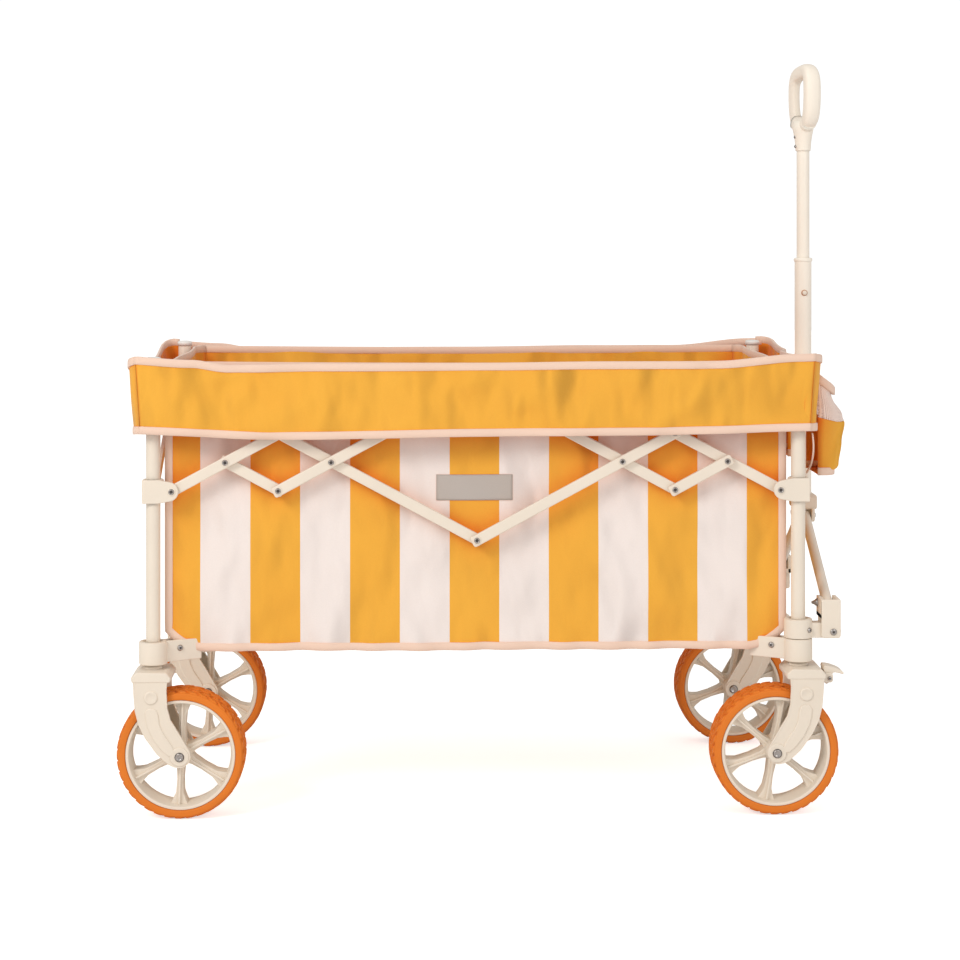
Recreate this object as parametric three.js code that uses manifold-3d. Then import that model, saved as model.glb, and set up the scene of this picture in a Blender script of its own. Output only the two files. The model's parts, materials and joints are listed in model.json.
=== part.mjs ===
// Folding wagon with pull handle. Millimetres, +X towards the handle, +Z up, ground at z = 0.
// right is the -Y side, left the +Y side, rear the -X end, front the +X end.
import * as THREE from 'three';
import { mergeVertices } from 'three/addons/utils/BufferGeometryUtils.js';
import Module from 'manifold-3d';

const wasm = await Module();
wasm.setup();

// Uprights
const POST_X = 450;
const POST_Y = 220;
const POST_R = 10;
const POST_BOTTOM = 211;
const POST_TOP = 633;
const CAP_R = 11.5;
const CAP_TOP = 641;
const KINGPIN_R = 5;
const KINGPIN_BORE_R = 5.5;
const CLAMP_BORE_R = 10.3;

// Side scissors
const SCISSOR_Z = 451;
const SCISSOR_INSET = 26.5;
const SCISSOR_ANGLE = THREE.MathUtils.degToRad(28.3);
const SHORT_SPAN = 83.5;
const LONG_SPAN = (POST_X - SCISSOR_INSET) / Math.cos(SCISSOR_ANGLE) - 3 * SHORT_SPAN;
const BAR_R = 7;
const OUTER_LAYER = [221.5, 228.5];
const INNER_LAYER = [212.5, 219.5];
const PIN_R = 3;
const PIN_HOLE_R = 3.4;
const HEAD_R = 5.5;
const EAR_LAYER = [229.3, 235];
const EAR_R = 16.5;
const EAR_END = 22.5;
const SCISSOR_CLAMP_R = 15;

// Rear end bars and handle A-frame share one span, so both ends narrow alike
const END_OFFSET = 17.5;
const END_SPAN = 210;
const END_ANGLE = Math.acos((POST_Y - 2 * END_OFFSET) / END_SPAN);
const REAR_EAR = [-459, -453.3];
const REAR_LAYERS = [[-452.5, -446.5], [-445, -439]];

// Lower corners and floor
const CORNER_R = 20;
const CORNER_TOP = 242.5;
const HANDLE_CLAMP_TOP = 270;
const FLOOR_ANGLE = Math.atan2(POST_Y, POST_X);
const FLOOR_PIVOT = 60;
const FLOOR_Z = 229;
const FLOOR_BAR_R = 8;
const FLOOR_BAR_HALF = 5;
const FLOOR_REACH = 373;
const CHEEK_INNER = 5.4;
const CHEEK_OUTER = 9.4;
const HUB_TOP = 219.5;
const HUB_BOTTOM = 205.5;
const HUB_REACH = 75;

// Handle
const HANDLE_X = 494;
const YOKE_PIVOT_X = 497;
const YOKE_PIVOT_Z = 253;
const EYE_R = 12;
const YOKE_HINGE_Z = 289;
const YOKE_HALF = 13.5;
const YOKE_OUTER = [231, 236];
const YOKE_INNER = [204, 209];
const YOKE_END = 192;
const TONGUE = [209.5, 230.5];
const FRAME_TUBE_R = 7.5;
const FRAME_TOP_Z = YOKE_HINGE_Z + END_SPAN * Math.sin(END_ANGLE);
const CHEEK_GAP = 8.3;
const TUBE_OUT_R = 12.5;
const TUBE_OUT_BORE = 10.2;
const TUBE_OUT_BOTTOM = 401;
const COLLAR_TOP = 771;
const TUBE_IN_R = 9.5;
const TUBE_IN_BORE = 7.8;
const TUBE_IN_BOTTOM = 593;
const GRIP_BOTTOM = 931;
const GRIP_LOOP = 958;
const GRIP_TOP = 1061;
const GRIP_YAW = THREE.MathUtils.degToRad(22);
const BUTTON_Z = 719;

// Wheels
const REAR_TRAIL = 40;
const FRONT_TRAIL = 35;
const WHEEL_R = 89;
const TYRE_BORE_R = 76.3;
const TYRE_HALF = 27.5;
const RIM_R = 76;
const RIM_INNER_R = 68.5;
const RIM_HALF = 25;
const HUB_R = 15;
const WHEEL_HUB_HALF = 29.8;
const AXLE_R = 4;
const AXLE_BORE_R = 4.4;
const SPOKES = 6;
const WHEEL_SEGMENTS = 28;
const FORK_INNER = 31;
const FORK_OUTER = 37;
const CROWN_BOTTOM = 191;
const CROWN_TOP = 206;
const PEDAL_X = 41;
const PEDAL_Z = 189;

// Soft goods
const TUB_X = 434;
const TUB_Y = 207;
const TUB_CORNER = 25;
const CLOTH = 3;
const TUB_FLOOR_Z = 244;
const TUB_TOP = 630;
const HEM_Z = 225;
const FLAP_X = 486;
const FLAP_Y = 250;
const FLAP_MID_X = 473;
const FLAP_BOTTOM = 522;
const FLAP_TOP = 640;
const POCKET_FRONT = 532;
const POCKET_Y = [80, 185];
const POCKET_Z = [466, 604];

// The origin is the middle of the bounding box on the ground
const REAR_END = POST_X - REAR_TRAIL + WHEEL_R;
const SHIFT_X = (REAR_END - POCKET_FRONT) / 2;

const CREAM = ['#efe2d0', 0.42, 0.05];
const CREAM_TUBE = ['#f0e4d4', 0.35, 0.1];
const ORANGE = ['#e8862a', 0.7, 0];
const FABRIC = ['#eeb548', 0.95, 0];
const PEACH = ['#f0cdb0', 0.95, 0];

function signedVolume(points, triangles) {
  const a = new THREE.Vector3();
  const b = new THREE.Vector3();
  const c = new THREE.Vector3();
  let volume = 0;
  for (let i = 0; i < triangles.length; i += 3) {
    a.fromArray(points, triangles[i] * 3);
    b.fromArray(points, triangles[i + 1] * 3);
    c.fromArray(points, triangles[i + 2] * 3);
    volume += a.dot(b.cross(c)) / 6;
  }
  return volume;
}

// A closed geometry as a solid that can be joined and cut, its faces turned outward.
function solid(geometry) {
  const bare = new THREE.BufferGeometry();
  bare.setAttribute('position', geometry.getAttribute('position').clone());
  if (geometry.index) bare.setIndex(geometry.index.clone());
  const merged = mergeVertices(bare, 1e-4);
  const points = Float32Array.from(merged.getAttribute('position').array);
  const triangles = [];
  for (let i = 0; i < merged.index.count; i += 3) {
    const [a, b, c] = [0, 1, 2].map((k) => merged.index.getX(i + k));
    if (a !== b && b !== c && a !== c) triangles.push(a, b, c);
  }
  if (signedVolume(points, triangles) < 0) {
    for (let i = 0; i < triangles.length; i += 3) {
      [triangles[i + 1], triangles[i + 2]] = [triangles[i + 2], triangles[i + 1]];
    }
  }
  return new wasm.Manifold(new wasm.Mesh({
    numProp: 3, vertProperties: points, triVerts: Uint32Array.from(triangles),
  }));
}

function join(...solids) {
  return solids.reduce((sum, next) => sum.add(next));
}

function cut(base, ...tools) {
  return tools.reduce((rest, tool) => rest.subtract(tool), base);
}

function part(name, shape, look) {
  const data = shape.getMesh();
  const geometry = new THREE.BufferGeometry();
  geometry.setAttribute('position', new THREE.BufferAttribute(Float32Array.from(data.vertProperties), 3));
  geometry.setIndex(Array.from(data.triVerts));
  const flat = geometry.toNonIndexed();
  flat.computeVertexNormals();
  const material = new THREE.MeshStandardMaterial({ color: look[0], roughness: look[1], metalness: look[2] });
  const mesh = new THREE.Mesh(flat, material);
  mesh.name = name;
  return mesh;
}

function block(x, y, z) {
  const geometry = new THREE.BoxGeometry(x[1] - x[0], y[1] - y[0], z[1] - z[0]);
  geometry.translate((x[0] + x[1]) / 2, (y[0] + y[1]) / 2, (z[0] + z[1]) / 2);
  return solid(geometry);
}

function sorted(a, b) {
  return a < b ? [a, b] : [b, a];
}

// Round rod from p to q, which may taper.
function rod(p, q, r, rEnd = r, segments = 10) {
  const from = new THREE.Vector3(...p);
  const along = new THREE.Vector3(...q).sub(from);
  const geometry = new THREE.CylinderGeometry(rEnd, r, along.length(), segments);
  geometry.translate(0, along.length() / 2, 0);
  const turn = new THREE.Quaternion();
  turn.setFromUnitVectors(new THREE.Vector3(0, 1, 0), along.normalize());
  geometry.applyQuaternion(turn);
  geometry.translate(...p);
  return solid(geometry);
}

// Solid of revolution about a vertical axis through (x, y).
function turned(profile, x, y, segments = 16) {
  const points = profile.map(([r, z]) => new THREE.Vector2(r, z));
  const geometry = new THREE.LatheGeometry(points, segments);
  geometry.rotateX(Math.PI / 2);
  geometry.translate(x, y, 0);
  return solid(geometry);
}

// Solid of revolution about a wheel axis, parallel to Y. Its flats, not its edges, are at the
// stated radii, and one flat is at the bottom.
function turnedWheel(profile, centre) {
  const stretch = 1 / Math.cos(Math.PI / WHEEL_SEGMENTS);
  const points = profile.map(([r, along]) => new THREE.Vector2(r * stretch, along));
  const geometry = new THREE.LatheGeometry(points, WHEEL_SEGMENTS, Math.PI / WHEEL_SEGMENTS);
  geometry.translate(...centre);
  return solid(geometry);
}

function extrude(shape, depth, bevel = 0, curveSegments = 4) {
  return new THREE.ExtrudeGeometry(shape, {
    depth, curveSegments, steps: 1, bevelEnabled: bevel > 0,
    bevelSize: bevel, bevelThickness: bevel, bevelOffset: -bevel, bevelSegments: 2,
  });
}

// Upright plate from a shape drawn in X and Z, between two Y planes.
function plateXZ(shape, y) {
  const [low, high] = sorted(...y);
  const geometry = extrude(shape, high - low);
  const basis = new THREE.Matrix4();
  basis.makeBasis(new THREE.Vector3(1, 0, 0), new THREE.Vector3(0, 0, 1), new THREE.Vector3(0, -1, 0));
  geometry.applyMatrix4(basis);
  geometry.translate(0, high, 0);
  return solid(geometry);
}

// Upright plate from a shape drawn in Y and Z, between two X planes.
function plateYZ(shape, x, bevel = 0) {
  const [low, high] = sorted(...x);
  const geometry = extrude(shape, high - low - 2 * bevel, bevel);
  const basis = new THREE.Matrix4();
  basis.makeBasis(new THREE.Vector3(0, 1, 0), new THREE.Vector3(0, 0, 1), new THREE.Vector3(1, 0, 0));
  geometry.applyMatrix4(basis);
  geometry.translate(low + bevel, 0, 0);
  return solid(geometry);
}

// Level slab from a shape drawn in X and Y, between two heights.
function slab(shape, z) {
  const geometry = extrude(shape, z[1] - z[0]);
  geometry.translate(0, 0, z[0]);
  return solid(geometry);
}

// Bar outline with round ends centred on two pivots, with round holes.
function barShape(p, q, r, holes = []) {
  const angle = Math.atan2(q[1] - p[1], q[0] - p[0]);
  const shape = new THREE.Shape();
  shape.absarc(q[0], q[1], r, angle - Math.PI / 2, angle + Math.PI / 2, false);
  shape.absarc(p[0], p[1], r, angle + Math.PI / 2, angle + 1.5 * Math.PI, false);
  for (const hole of holes) {
    const path = new THREE.Path();
    path.absarc(hole[0], hole[1], PIN_HOLE_R, 0, 2 * Math.PI, true);
    shape.holes.push(path);
  }
  return shape;
}

function polygon(points) {
  return new THREE.Shape(points.map(([u, v]) => new THREE.Vector2(u, v)));
}

function roundedBox(halfX, halfY, corner) {
  const shape = new THREE.Shape();
  shape.absarc(halfX - corner, halfY - corner, corner, 0, Math.PI / 2, false);
  shape.absarc(corner - halfX, halfY - corner, corner, Math.PI / 2, Math.PI, false);
  shape.absarc(corner - halfX, corner - halfY, corner, Math.PI, 1.5 * Math.PI, false);
  shape.absarc(halfX - corner, corner - halfY, corner, 1.5 * Math.PI, 2 * Math.PI, false);
  return shape;
}

const CORNERS = [
  { name: 'rear_right', end: -1, side: -1 },
  { name: 'rear_left', end: -1, side: 1 },
  { name: 'front_right', end: 1, side: -1 },
  { name: 'front_left', end: 1, side: 1 },
];

// Tube upright, bored from below for the kingpin, with a domed cap.
function post({ name, end, side }) {
  const profile = [
    [0, 241], [KINGPIN_BORE_R, 241], [KINGPIN_BORE_R, POST_BOTTOM], [POST_R, POST_BOTTOM],
    [POST_R, POST_TOP], [CAP_R, POST_TOP], [CAP_R, CAP_TOP - 3], [8.5, CAP_TOP - 0.4], [0, CAP_TOP],
  ];
  return part(`post_${name}`, turned(profile, end * POST_X, side * POST_Y), CREAM_TUBE);
}

function clampRing(x, y, r, z) {
  const profile = [[CLAMP_BORE_R, z[0]], [r, z[0]], [r, z[1]], [CLAMP_BORE_R, z[1]], [CLAMP_BORE_R, z[0]]];
  return turned(profile, x, y);
}

// Moves a solid-to-be drawn along +X from a post axis onto that corner's floor diagonal.
function diagonal(geometry, { end, side }) {
  const angle = Math.atan2(-side * Math.sin(FLOOR_ANGLE), -end * Math.cos(FLOOR_ANGLE));
  geometry.rotateZ(angle);
  geometry.translate(end * POST_X, side * POST_Y, 0);
  return solid(geometry);
}

// The pair of cheeks that carries a floor bar, with its pin.
function floorArm(corner) {
  const cheeks = [-1, 1].map((flip) => {
    const geometry = new THREE.BoxGeometry(54, CHEEK_OUTER - CHEEK_INNER, CORNER_TOP - 213);
    geometry.translate(41, flip * (CHEEK_INNER + CHEEK_OUTER) / 2, (CORNER_TOP + 213) / 2);
    return diagonal(geometry, corner);
  });
  const pin = new THREE.CylinderGeometry(PIN_R, PIN_R, 2 * CHEEK_OUTER + 3, 10);
  pin.translate(FLOOR_PIVOT, 0, 0);
  pin.translate(0, 0, FLOOR_Z);
  return join(...cheeks, diagonal(pin, corner));
}

// Tongue that the handle yoke turns on.
function handleTongue(side) {
  const shape = polygon([
    [POST_X + 12, YOKE_PIVOT_Z - 9.5], [YOKE_PIVOT_X, YOKE_PIVOT_Z - 9.5],
    [YOKE_PIVOT_X, YOKE_PIVOT_Z + EYE_R], [POST_X + 12, YOKE_PIVOT_Z + EYE_R],
  ]);
  const eye = new THREE.Shape();
  eye.absarc(YOKE_PIVOT_X, YOKE_PIVOT_Z, EYE_R, 0, 2 * Math.PI, false);
  const y = sorted(side * TONGUE[0], side * TONGUE[1]);
  const under = block([YOKE_PIVOT_X - 40, YOKE_PIVOT_X + 40], [y[0] - 1, y[1] + 1], [233, 243.5]);
  const bore = rod([YOKE_PIVOT_X, y[0] - 1, YOKE_PIVOT_Z], [YOKE_PIVOT_X, y[1] + 1, YOKE_PIVOT_Z], AXLE_BORE_R);
  return cut(join(plateXZ(shape, y), plateXZ(eye, y)), under, bore);
}

function cornerBracket(corner) {
  const { name, end, side } = corner;
  const [x, y] = [end * POST_X, side * POST_Y];
  let shape = join(
    clampRing(x, y, CORNER_R, [POST_BOTTOM, end > 0 ? HANDLE_CLAMP_TOP : CORNER_TOP]),
    floorArm(corner),
  );
  if (end > 0) shape = join(shape, handleTongue(side));
  shape = cut(shape, rod([x, y, POST_BOTTOM - 5], [x, y, HANDLE_CLAMP_TOP + 5], CLAMP_BORE_R, CLAMP_BORE_R, 16));
  return part(`corner_bracket_${name}`, shape, CREAM);
}

// Clamp with an ear outside the first scissor bar; the rear ones also carry a rear end bar.
function scissorBracket({ name, end, side }) {
  const [x, y] = [end * POST_X, side * POST_Y];
  const z = [SCISSOR_Z - EAR_R, SCISSOR_Z + EAR_R];
  const pivotX = end * (POST_X - SCISSOR_INSET);
  const ear = barShape([x, SCISSOR_Z], [end * (POST_X - EAR_END), SCISSOR_Z], EAR_R);
  const last = end < 0 ? OUTER_LAYER[0] : INNER_LAYER[0];
  let shape = join(
    clampRing(x, y, SCISSOR_CLAMP_R, z),
    plateXZ(ear, EAR_LAYER.map((value) => side * value)),
    rod([pivotX, side * 232, SCISSOR_Z], [pivotX, side * (last - 0.3), SCISSOR_Z], PIN_R),
    rod([pivotX, side * (last - 0.3), SCISSOR_Z], [pivotX, side * (last - 1.5), SCISSOR_Z], 5),
    rod([pivotX, side * 234.5, SCISSOR_Z], [pivotX, side * 237.5, SCISSOR_Z], HEAD_R, 3.5),
  );
  if (end < 0) {
    const hingeY = side * (POST_Y - 2 * END_OFFSET);
    const inner = REAR_LAYERS[side < 0 ? 0 : 1][1];
    const rearEar = barShape([y, SCISSOR_Z], [hingeY + side * 4, SCISSOR_Z], EAR_R);
    shape = join(
      shape,
      plateYZ(rearEar, REAR_EAR),
      rod([-456, hingeY, SCISSOR_Z], [inner + 0.3, hingeY, SCISSOR_Z], PIN_R),
      rod([inner + 0.3, hingeY, SCISSOR_Z], [inner + 1.5, hingeY, SCISSOR_Z], 5),
      rod([-458.5, hingeY, SCISSOR_Z], [-461.5, hingeY, SCISSOR_Z], HEAD_R, 3.5),
    );
  }
  shape = cut(shape, rod([x, y, z[0] - 5], [x, y, z[1] + 5], CLAMP_BORE_R, CLAMP_BORE_R, 16));
  return part(`scissor_bracket_${name}`, shape, CREAM);
}

// Pivot points of one half of one side's scissors, as X and Z.
function sidePivots(end) {
  const run = Math.cos(SCISSOR_ANGLE);
  const rise = Math.sin(SCISSOR_ANGLE);
  const at = (along, up) => [end * (POST_X - SCISSOR_INSET - along * run), SCISSOR_Z + up * rise];
  return {
    start: at(0, 0),
    firstMid: at(SHORT_SPAN, SHORT_SPAN),
    firstTop: at(2 * SHORT_SPAN, 2 * SHORT_SPAN),
    firstLow: at(2 * SHORT_SPAN, 0),
    secondMid: at(3 * SHORT_SPAN, SHORT_SPAN),
    centreTop: at(3 * SHORT_SPAN + LONG_SPAN, SHORT_SPAN + LONG_SPAN),
    centreLow: at(3 * SHORT_SPAN + LONG_SPAN, SHORT_SPAN - LONG_SPAN),
  };
}

// Pivot pin carried by an outer bar: shank through the inner bar, head on each face.
function sidePin([x, z], side) {
  return join(
    rod([x, side * 225, z], [x, side * (INNER_LAYER[0] - 0.3), z], PIN_R),
    rod([x, side * (INNER_LAYER[0] - 0.3), z], [x, side * (INNER_LAYER[0] - 1.5), z], 5),
    rod([x, side * 228, z], [x, side * 231, z], HEAD_R, 3.5),
  );
}

function sideBar(name, from, to, side, layer, holes, pins) {
  const plate = plateXZ(barShape(from, to, BAR_R, holes), layer.map((value) => side * value));
  return part(name, join(plate, ...pins.map((pin) => sidePin(pin, side))), CREAM_TUBE);
}

// Bars that rise towards the front lie outside; the ones that fall lie inside and have holes.
function sideBars(end, side) {
  const p = sidePivots(end);
  const label = `${side < 0 ? 'right' : 'left'}_${end < 0 ? 'rear' : 'front'}`;
  const spans = [
    ['end_bar', p.start, p.firstTop, end < 0, [p.start, p.firstMid, p.firstTop]],
    ['link_bar', p.firstMid, p.firstLow, end > 0, [p.firstMid, p.firstLow]],
    ['rise_bar', p.firstLow, p.centreTop, end < 0, [p.firstLow, p.secondMid, p.centreTop]],
    ['fall_bar', p.firstTop, p.centreLow, end > 0, [p.firstTop, p.secondMid, p.centreLow]],
  ];
  return spans.map(([kind, from, to, outer, pivots]) => {
    const holes = outer ? pivots.filter((pivot) => pivot === p.start) : pivots;
    const pins = outer ? pivots.filter((pivot) => pivot !== p.start) : [];
    return sideBar(`${label}_${kind}`, from, to, side, outer ? OUTER_LAYER : INNER_LAYER, holes, pins);
  });
}

// The two bars of the rear inverted V; the right one carries the top pin.
function rearBars() {
  const top = [0, SCISSOR_Z + (END_SPAN) * Math.sin(END_ANGLE)];
  return [-1, 1].map((side) => {
    const layer = REAR_LAYERS[side < 0 ? 0 : 1];
    const foot = [side * (POST_Y - 2 * END_OFFSET), SCISSOR_Z];
    const holes = side < 0 ? [foot] : [foot, top];
    let shape = plateYZ(barShape(foot, top, BAR_R, holes), layer);
    if (side < 0) {
      shape = join(
        shape,
        rod([-450, ...top], [REAR_LAYERS[1][1] + 0.3, ...top], PIN_R),
        rod([REAR_LAYERS[1][1] + 0.3, ...top], [REAR_LAYERS[1][1] + 1.5, ...top], 5),
        rod([-452, ...top], [-455, ...top], HEAD_R, 3.5),
      );
    }
    return part(`rear_end_bar_${side < 0 ? 'right' : 'left'}`, shape, CREAM_TUBE);
  });
}

function floorBar(corner) {
  const shape = barShape([FLOOR_PIVOT, FLOOR_Z], [FLOOR_PIVOT + FLOOR_REACH - FLOOR_BAR_R, FLOOR_Z],
    FLOOR_BAR_R, [[FLOOR_PIVOT, FLOOR_Z]]);
  const geometry = extrude(shape, 2 * FLOOR_BAR_HALF);
  geometry.translate(0, 0, -FLOOR_BAR_HALF);
  geometry.rotateX(Math.PI / 2);
  return part(`floor_bar_${corner.name}`, diagonal(geometry, corner), CREAM_TUBE);
}

// Level cross under the inner ends of the floor bars.
function floorHub() {
  const z = [HUB_BOTTOM, HUB_TOP];
  const arms = [-1, 1].map((flip) => {
    const geometry = new THREE.BoxGeometry(2 * HUB_REACH, 24, z[1] - z[0]);
    geometry.rotateZ(flip * FLOOR_ANGLE);
    geometry.translate(0, 0, (z[0] + z[1]) / 2);
    return solid(geometry);
  });
  return part('floor_hub', join(...arms, rod([0, 0, z[0]], [0, 0, z[1]], 36, 36, 20)), CREAM);
}

// Hinged block that carries one A-frame tube; it turns on the corner bracket's tongue.
function yoke(side) {
  const x = [HANDLE_X - YOKE_HALF, HANDLE_X + YOKE_HALF];
  const y = (low, high) => sorted(side * low, side * high);
  const hinge = [side * (POST_Y - END_OFFSET), YOKE_HINGE_Z];
  const cheeks = [[x[0], x[0] + 5], [x[1] - 5, x[1]]].map((span) => (
    block(span, y(YOKE_END, YOKE_OUTER[1]), [270, 298])));
  const shape = join(
    block(x, y(...YOKE_OUTER), [244, 298]),
    block(x, y(...YOKE_INNER), [244, 277]),
    block(x, y(YOKE_END, YOKE_OUTER[1]), [270, 277]),
    ...cheeks,
    rod([YOKE_PIVOT_X, side * 205, YOKE_PIVOT_Z], [YOKE_PIVOT_X, side * 235, YOKE_PIVOT_Z], AXLE_R),
    rod([x[0] - 2.5, ...hinge], [x[1] + 2.5, ...hinge], PIN_R),
    rod([x[0] + 0.5, ...hinge], [x[0] - 4, ...hinge], 5, 3),
    rod([x[1] - 0.5, ...hinge], [x[1] + 2.5, ...hinge], 5, 3.5),
  );
  return part(`handle_yoke_${side < 0 ? 'right' : 'left'}`, shape, CREAM);
}

function frameTube(side) {
  const foot = [HANDLE_X, side * (POST_Y - END_OFFSET), YOKE_HINGE_Z];
  const top = [HANDLE_X, side * END_OFFSET, FRAME_TOP_Z];
  const eye = ([x, y, z]) => rod([x - FRAME_TUBE_R, y, z], [x + FRAME_TUBE_R, y, z], FRAME_TUBE_R);
  const bore = ([x, y, z]) => rod([x - 12, y, z], [x + 12, y, z], PIN_HOLE_R);
  const shape = cut(join(rod(foot, top, FRAME_TUBE_R, FRAME_TUBE_R, 12), eye(foot), eye(top)), bore(foot), bore(top));
  return part(`handle_frame_tube_${side < 0 ? 'right' : 'left'}`, shape, CREAM_TUBE);
}

// Block on the foot of the handle tube, with a cheek each side of the A-frame tubes.
function topBracket() {
  const x = [HANDLE_X - 17, HANDLE_X + 17];
  const cheeks = [[HANDLE_X - CHEEK_GAP - 5, HANDLE_X - CHEEK_GAP], [HANDLE_X + CHEEK_GAP, HANDLE_X + CHEEK_GAP + 5]];
  const pins = [-1, 1].map((side) => {
    const hinge = [side * END_OFFSET, FRAME_TOP_Z];
    return join(
      rod([HANDLE_X - 15, ...hinge], [HANDLE_X + 15, ...hinge], PIN_R),
      rod([HANDLE_X - 13, ...hinge], [HANDLE_X - 16, ...hinge], 5, 3.5),
      rod([HANDLE_X + 13, ...hinge], [HANDLE_X + 16, ...hinge], 5, 3.5),
    );
  });
  const shape = join(
    block(x, [-28, 28], [397.5, 419]),
    ...cheeks.map((span) => block(span, [-28, 28], [379, 399])),
    ...pins,
  );
  const bore = rod([HANDLE_X, 0, TUBE_OUT_BOTTOM - 0.3], [HANDLE_X, 0, 433], TUBE_OUT_R + 0.5, TUBE_OUT_R + 0.5, 16);
  return part('handle_top_bracket', cut(shape, bore), CREAM);
}

function outerTube() {
  const profile = [
    [TUBE_OUT_BORE, TUBE_OUT_BOTTOM], [TUBE_OUT_R, TUBE_OUT_BOTTOM], [TUBE_OUT_R, COLLAR_TOP - 14],
    [14, COLLAR_TOP - 13], [14, COLLAR_TOP - 1.5], [13, COLLAR_TOP], [TUBE_OUT_BORE, COLLAR_TOP],
    [TUBE_OUT_BORE, TUBE_OUT_BOTTOM],
  ];
  const hole = rod([HANDLE_X, -8, BUTTON_Z], [HANDLE_X, -16, BUTTON_Z], 2.9);
  return part('handle_outer_tube', cut(turned(profile, HANDLE_X, 0), hole), CREAM_TUBE);
}

function innerTube() {
  const profile = [
    [TUBE_IN_BORE, TUBE_IN_BOTTOM], [TUBE_IN_R, TUBE_IN_BOTTOM], [TUBE_IN_R, GRIP_BOTTOM + 20],
    [TUBE_IN_BORE, GRIP_BOTTOM + 20], [TUBE_IN_BORE, TUBE_IN_BOTTOM],
  ];
  return part('handle_inner_tube', turned(profile, HANDLE_X, 0), CREAM_TUBE);
}

// Push button in a hole through the near wall of the outer tube.
function snapButton() {
  const shape = join(
    rod([HANDLE_X, -11.9, BUTTON_Z], [HANDLE_X, -15, BUTTON_Z], 2.6),
    rod([HANDLE_X, -14.6, BUTTON_Z], [HANDLE_X, -16.8, BUTTON_Z], 4.2, 3.4),
  );
  return part('handle_snap_button', shape, CREAM);
}

// D-shaped loop on a tapered neck, turned a little about the tube.
function grip() {
  const loop = new THREE.Shape();
  loop.moveTo(-20, GRIP_LOOP - 4);
  loop.quadraticCurveTo(-44, GRIP_LOOP + 6, -46, GRIP_LOOP + 30);
  loop.lineTo(-46, GRIP_TOP - 28);
  loop.quadraticCurveTo(-44, GRIP_TOP, -16, GRIP_TOP);
  loop.lineTo(16, GRIP_TOP);
  loop.quadraticCurveTo(44, GRIP_TOP, 46, GRIP_TOP - 28);
  loop.lineTo(46, GRIP_LOOP + 30);
  loop.quadraticCurveTo(44, GRIP_LOOP + 6, 20, GRIP_LOOP - 4);
  loop.closePath();
  const gap = new THREE.Path();
  gap.moveTo(16, GRIP_LOOP + 25);
  gap.quadraticCurveTo(26, GRIP_LOOP + 25, 26, GRIP_LOOP + 35);
  gap.lineTo(26, GRIP_TOP - 36);
  gap.quadraticCurveTo(26, GRIP_TOP - 26, 16, GRIP_TOP - 26);
  gap.lineTo(-16, GRIP_TOP - 26);
  gap.quadraticCurveTo(-26, GRIP_TOP - 26, -26, GRIP_TOP - 36);
  gap.lineTo(-26, GRIP_LOOP + 35);
  gap.quadraticCurveTo(-26, GRIP_LOOP + 25, -16, GRIP_LOOP + 25);
  gap.closePath();
  loop.holes.push(gap);
  const geometry = extrude(loop, 12, 5, 4);
  const basis = new THREE.Matrix4();
  basis.makeBasis(new THREE.Vector3(0, 1, 0), new THREE.Vector3(0, 0, 1), new THREE.Vector3(1, 0, 0));
  geometry.applyMatrix4(basis);
  geometry.translate(-6, 0, 0);
  geometry.rotateZ(GRIP_YAW);
  geometry.translate(HANDLE_X, 0, 0);
  const neck = turned(
    [[0, GRIP_BOTTOM], [11.2, GRIP_BOTTOM], [12, GRIP_BOTTOM + 12], [14.5, GRIP_LOOP + 3], [14, GRIP_LOOP + 16],
      [0, GRIP_LOOP + 16]], HANDLE_X, 0);
  const bore = rod([HANDLE_X, 0, GRIP_BOTTOM - 5], [HANDLE_X, 0, GRIP_BOTTOM + 20.3],
    TUBE_IN_R + 0.5, TUBE_IN_R + 0.5, 16);
  return part('handle_grip', cut(join(solid(geometry), neck), bore), CREAM);
}

function trailOf(end) {
  return end < 0 ? REAR_TRAIL : FRONT_TRAIL;
}

// Outline of a fork's side plate; +u is the way the wheel trails from the post axis.
function forkShape(x, trailSign, shift) {
  const outline = [
    [-30, 196], [-28.5, 189], [-27.7, 172], [-26, 153], [-21, 133], [-12, 115], [4, 93], [20, 78.5],
    [35, 73.5], [47, 79], [51, 89], [45.5, 102], [33.5, 123], [23, 140], [18.7, 156], [17.5, 180], [19, 196],
  ];
  return polygon(outline.map(([u, z]) => [x + trailSign * (u + shift), z]));
}

// Fork with crown, kingpin and axle; a front fork also has the lugs of the brake pedal.
function fork({ name, end, side }) {
  const [x, y] = [end * POST_X, side * POST_Y];
  const trail = -end;
  const axleX = x + trail * trailOf(end);
  const shift = trailOf(end) - FRONT_TRAIL;
  const plates = [-1, 1].map((flip) => (
    plateXZ(forkShape(x, trail, shift), [y + flip * FORK_INNER, y + flip * FORK_OUTER])));
  const crown = block(sorted(x - trail * (32 - shift), x + trail * (24 + shift)), [y - FORK_OUTER, y + FORK_OUTER],
    [CROWN_BOTTOM, CROWN_TOP]);
  let shape = join(
    crown,
    ...plates,
    rod([x, y, CROWN_TOP - 2], [x, y, CROWN_TOP + 4.5], 12),
    rod([x, y, CROWN_TOP], [x, y, CROWN_TOP + 30], KINGPIN_R),
    rod([axleX, y - 38, WHEEL_R], [axleX, y + 38, WHEEL_R], AXLE_R),
    rod([axleX, y - 36.5, WHEEL_R], [axleX, y - 40, WHEEL_R], 7.5, 6.5),
    rod([axleX, y + 36.5, WHEEL_R], [axleX, y + 40, WHEEL_R], 7.5, 6.5),
  );
  if (end > 0) {
    const lugs = [-1, 1].map((flip) => (
      block([x + 30, x + PEDAL_X + 5], sorted(y + flip * 15, y + flip * 19), [183, 196])));
    shape = join(shape, ...lugs, rod([x + PEDAL_X, y - 17, PEDAL_Z], [x + PEDAL_X, y + 17, PEDAL_Z], 2));
  }
  return part(`fork_${name}`, shape, CREAM);
}

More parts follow.
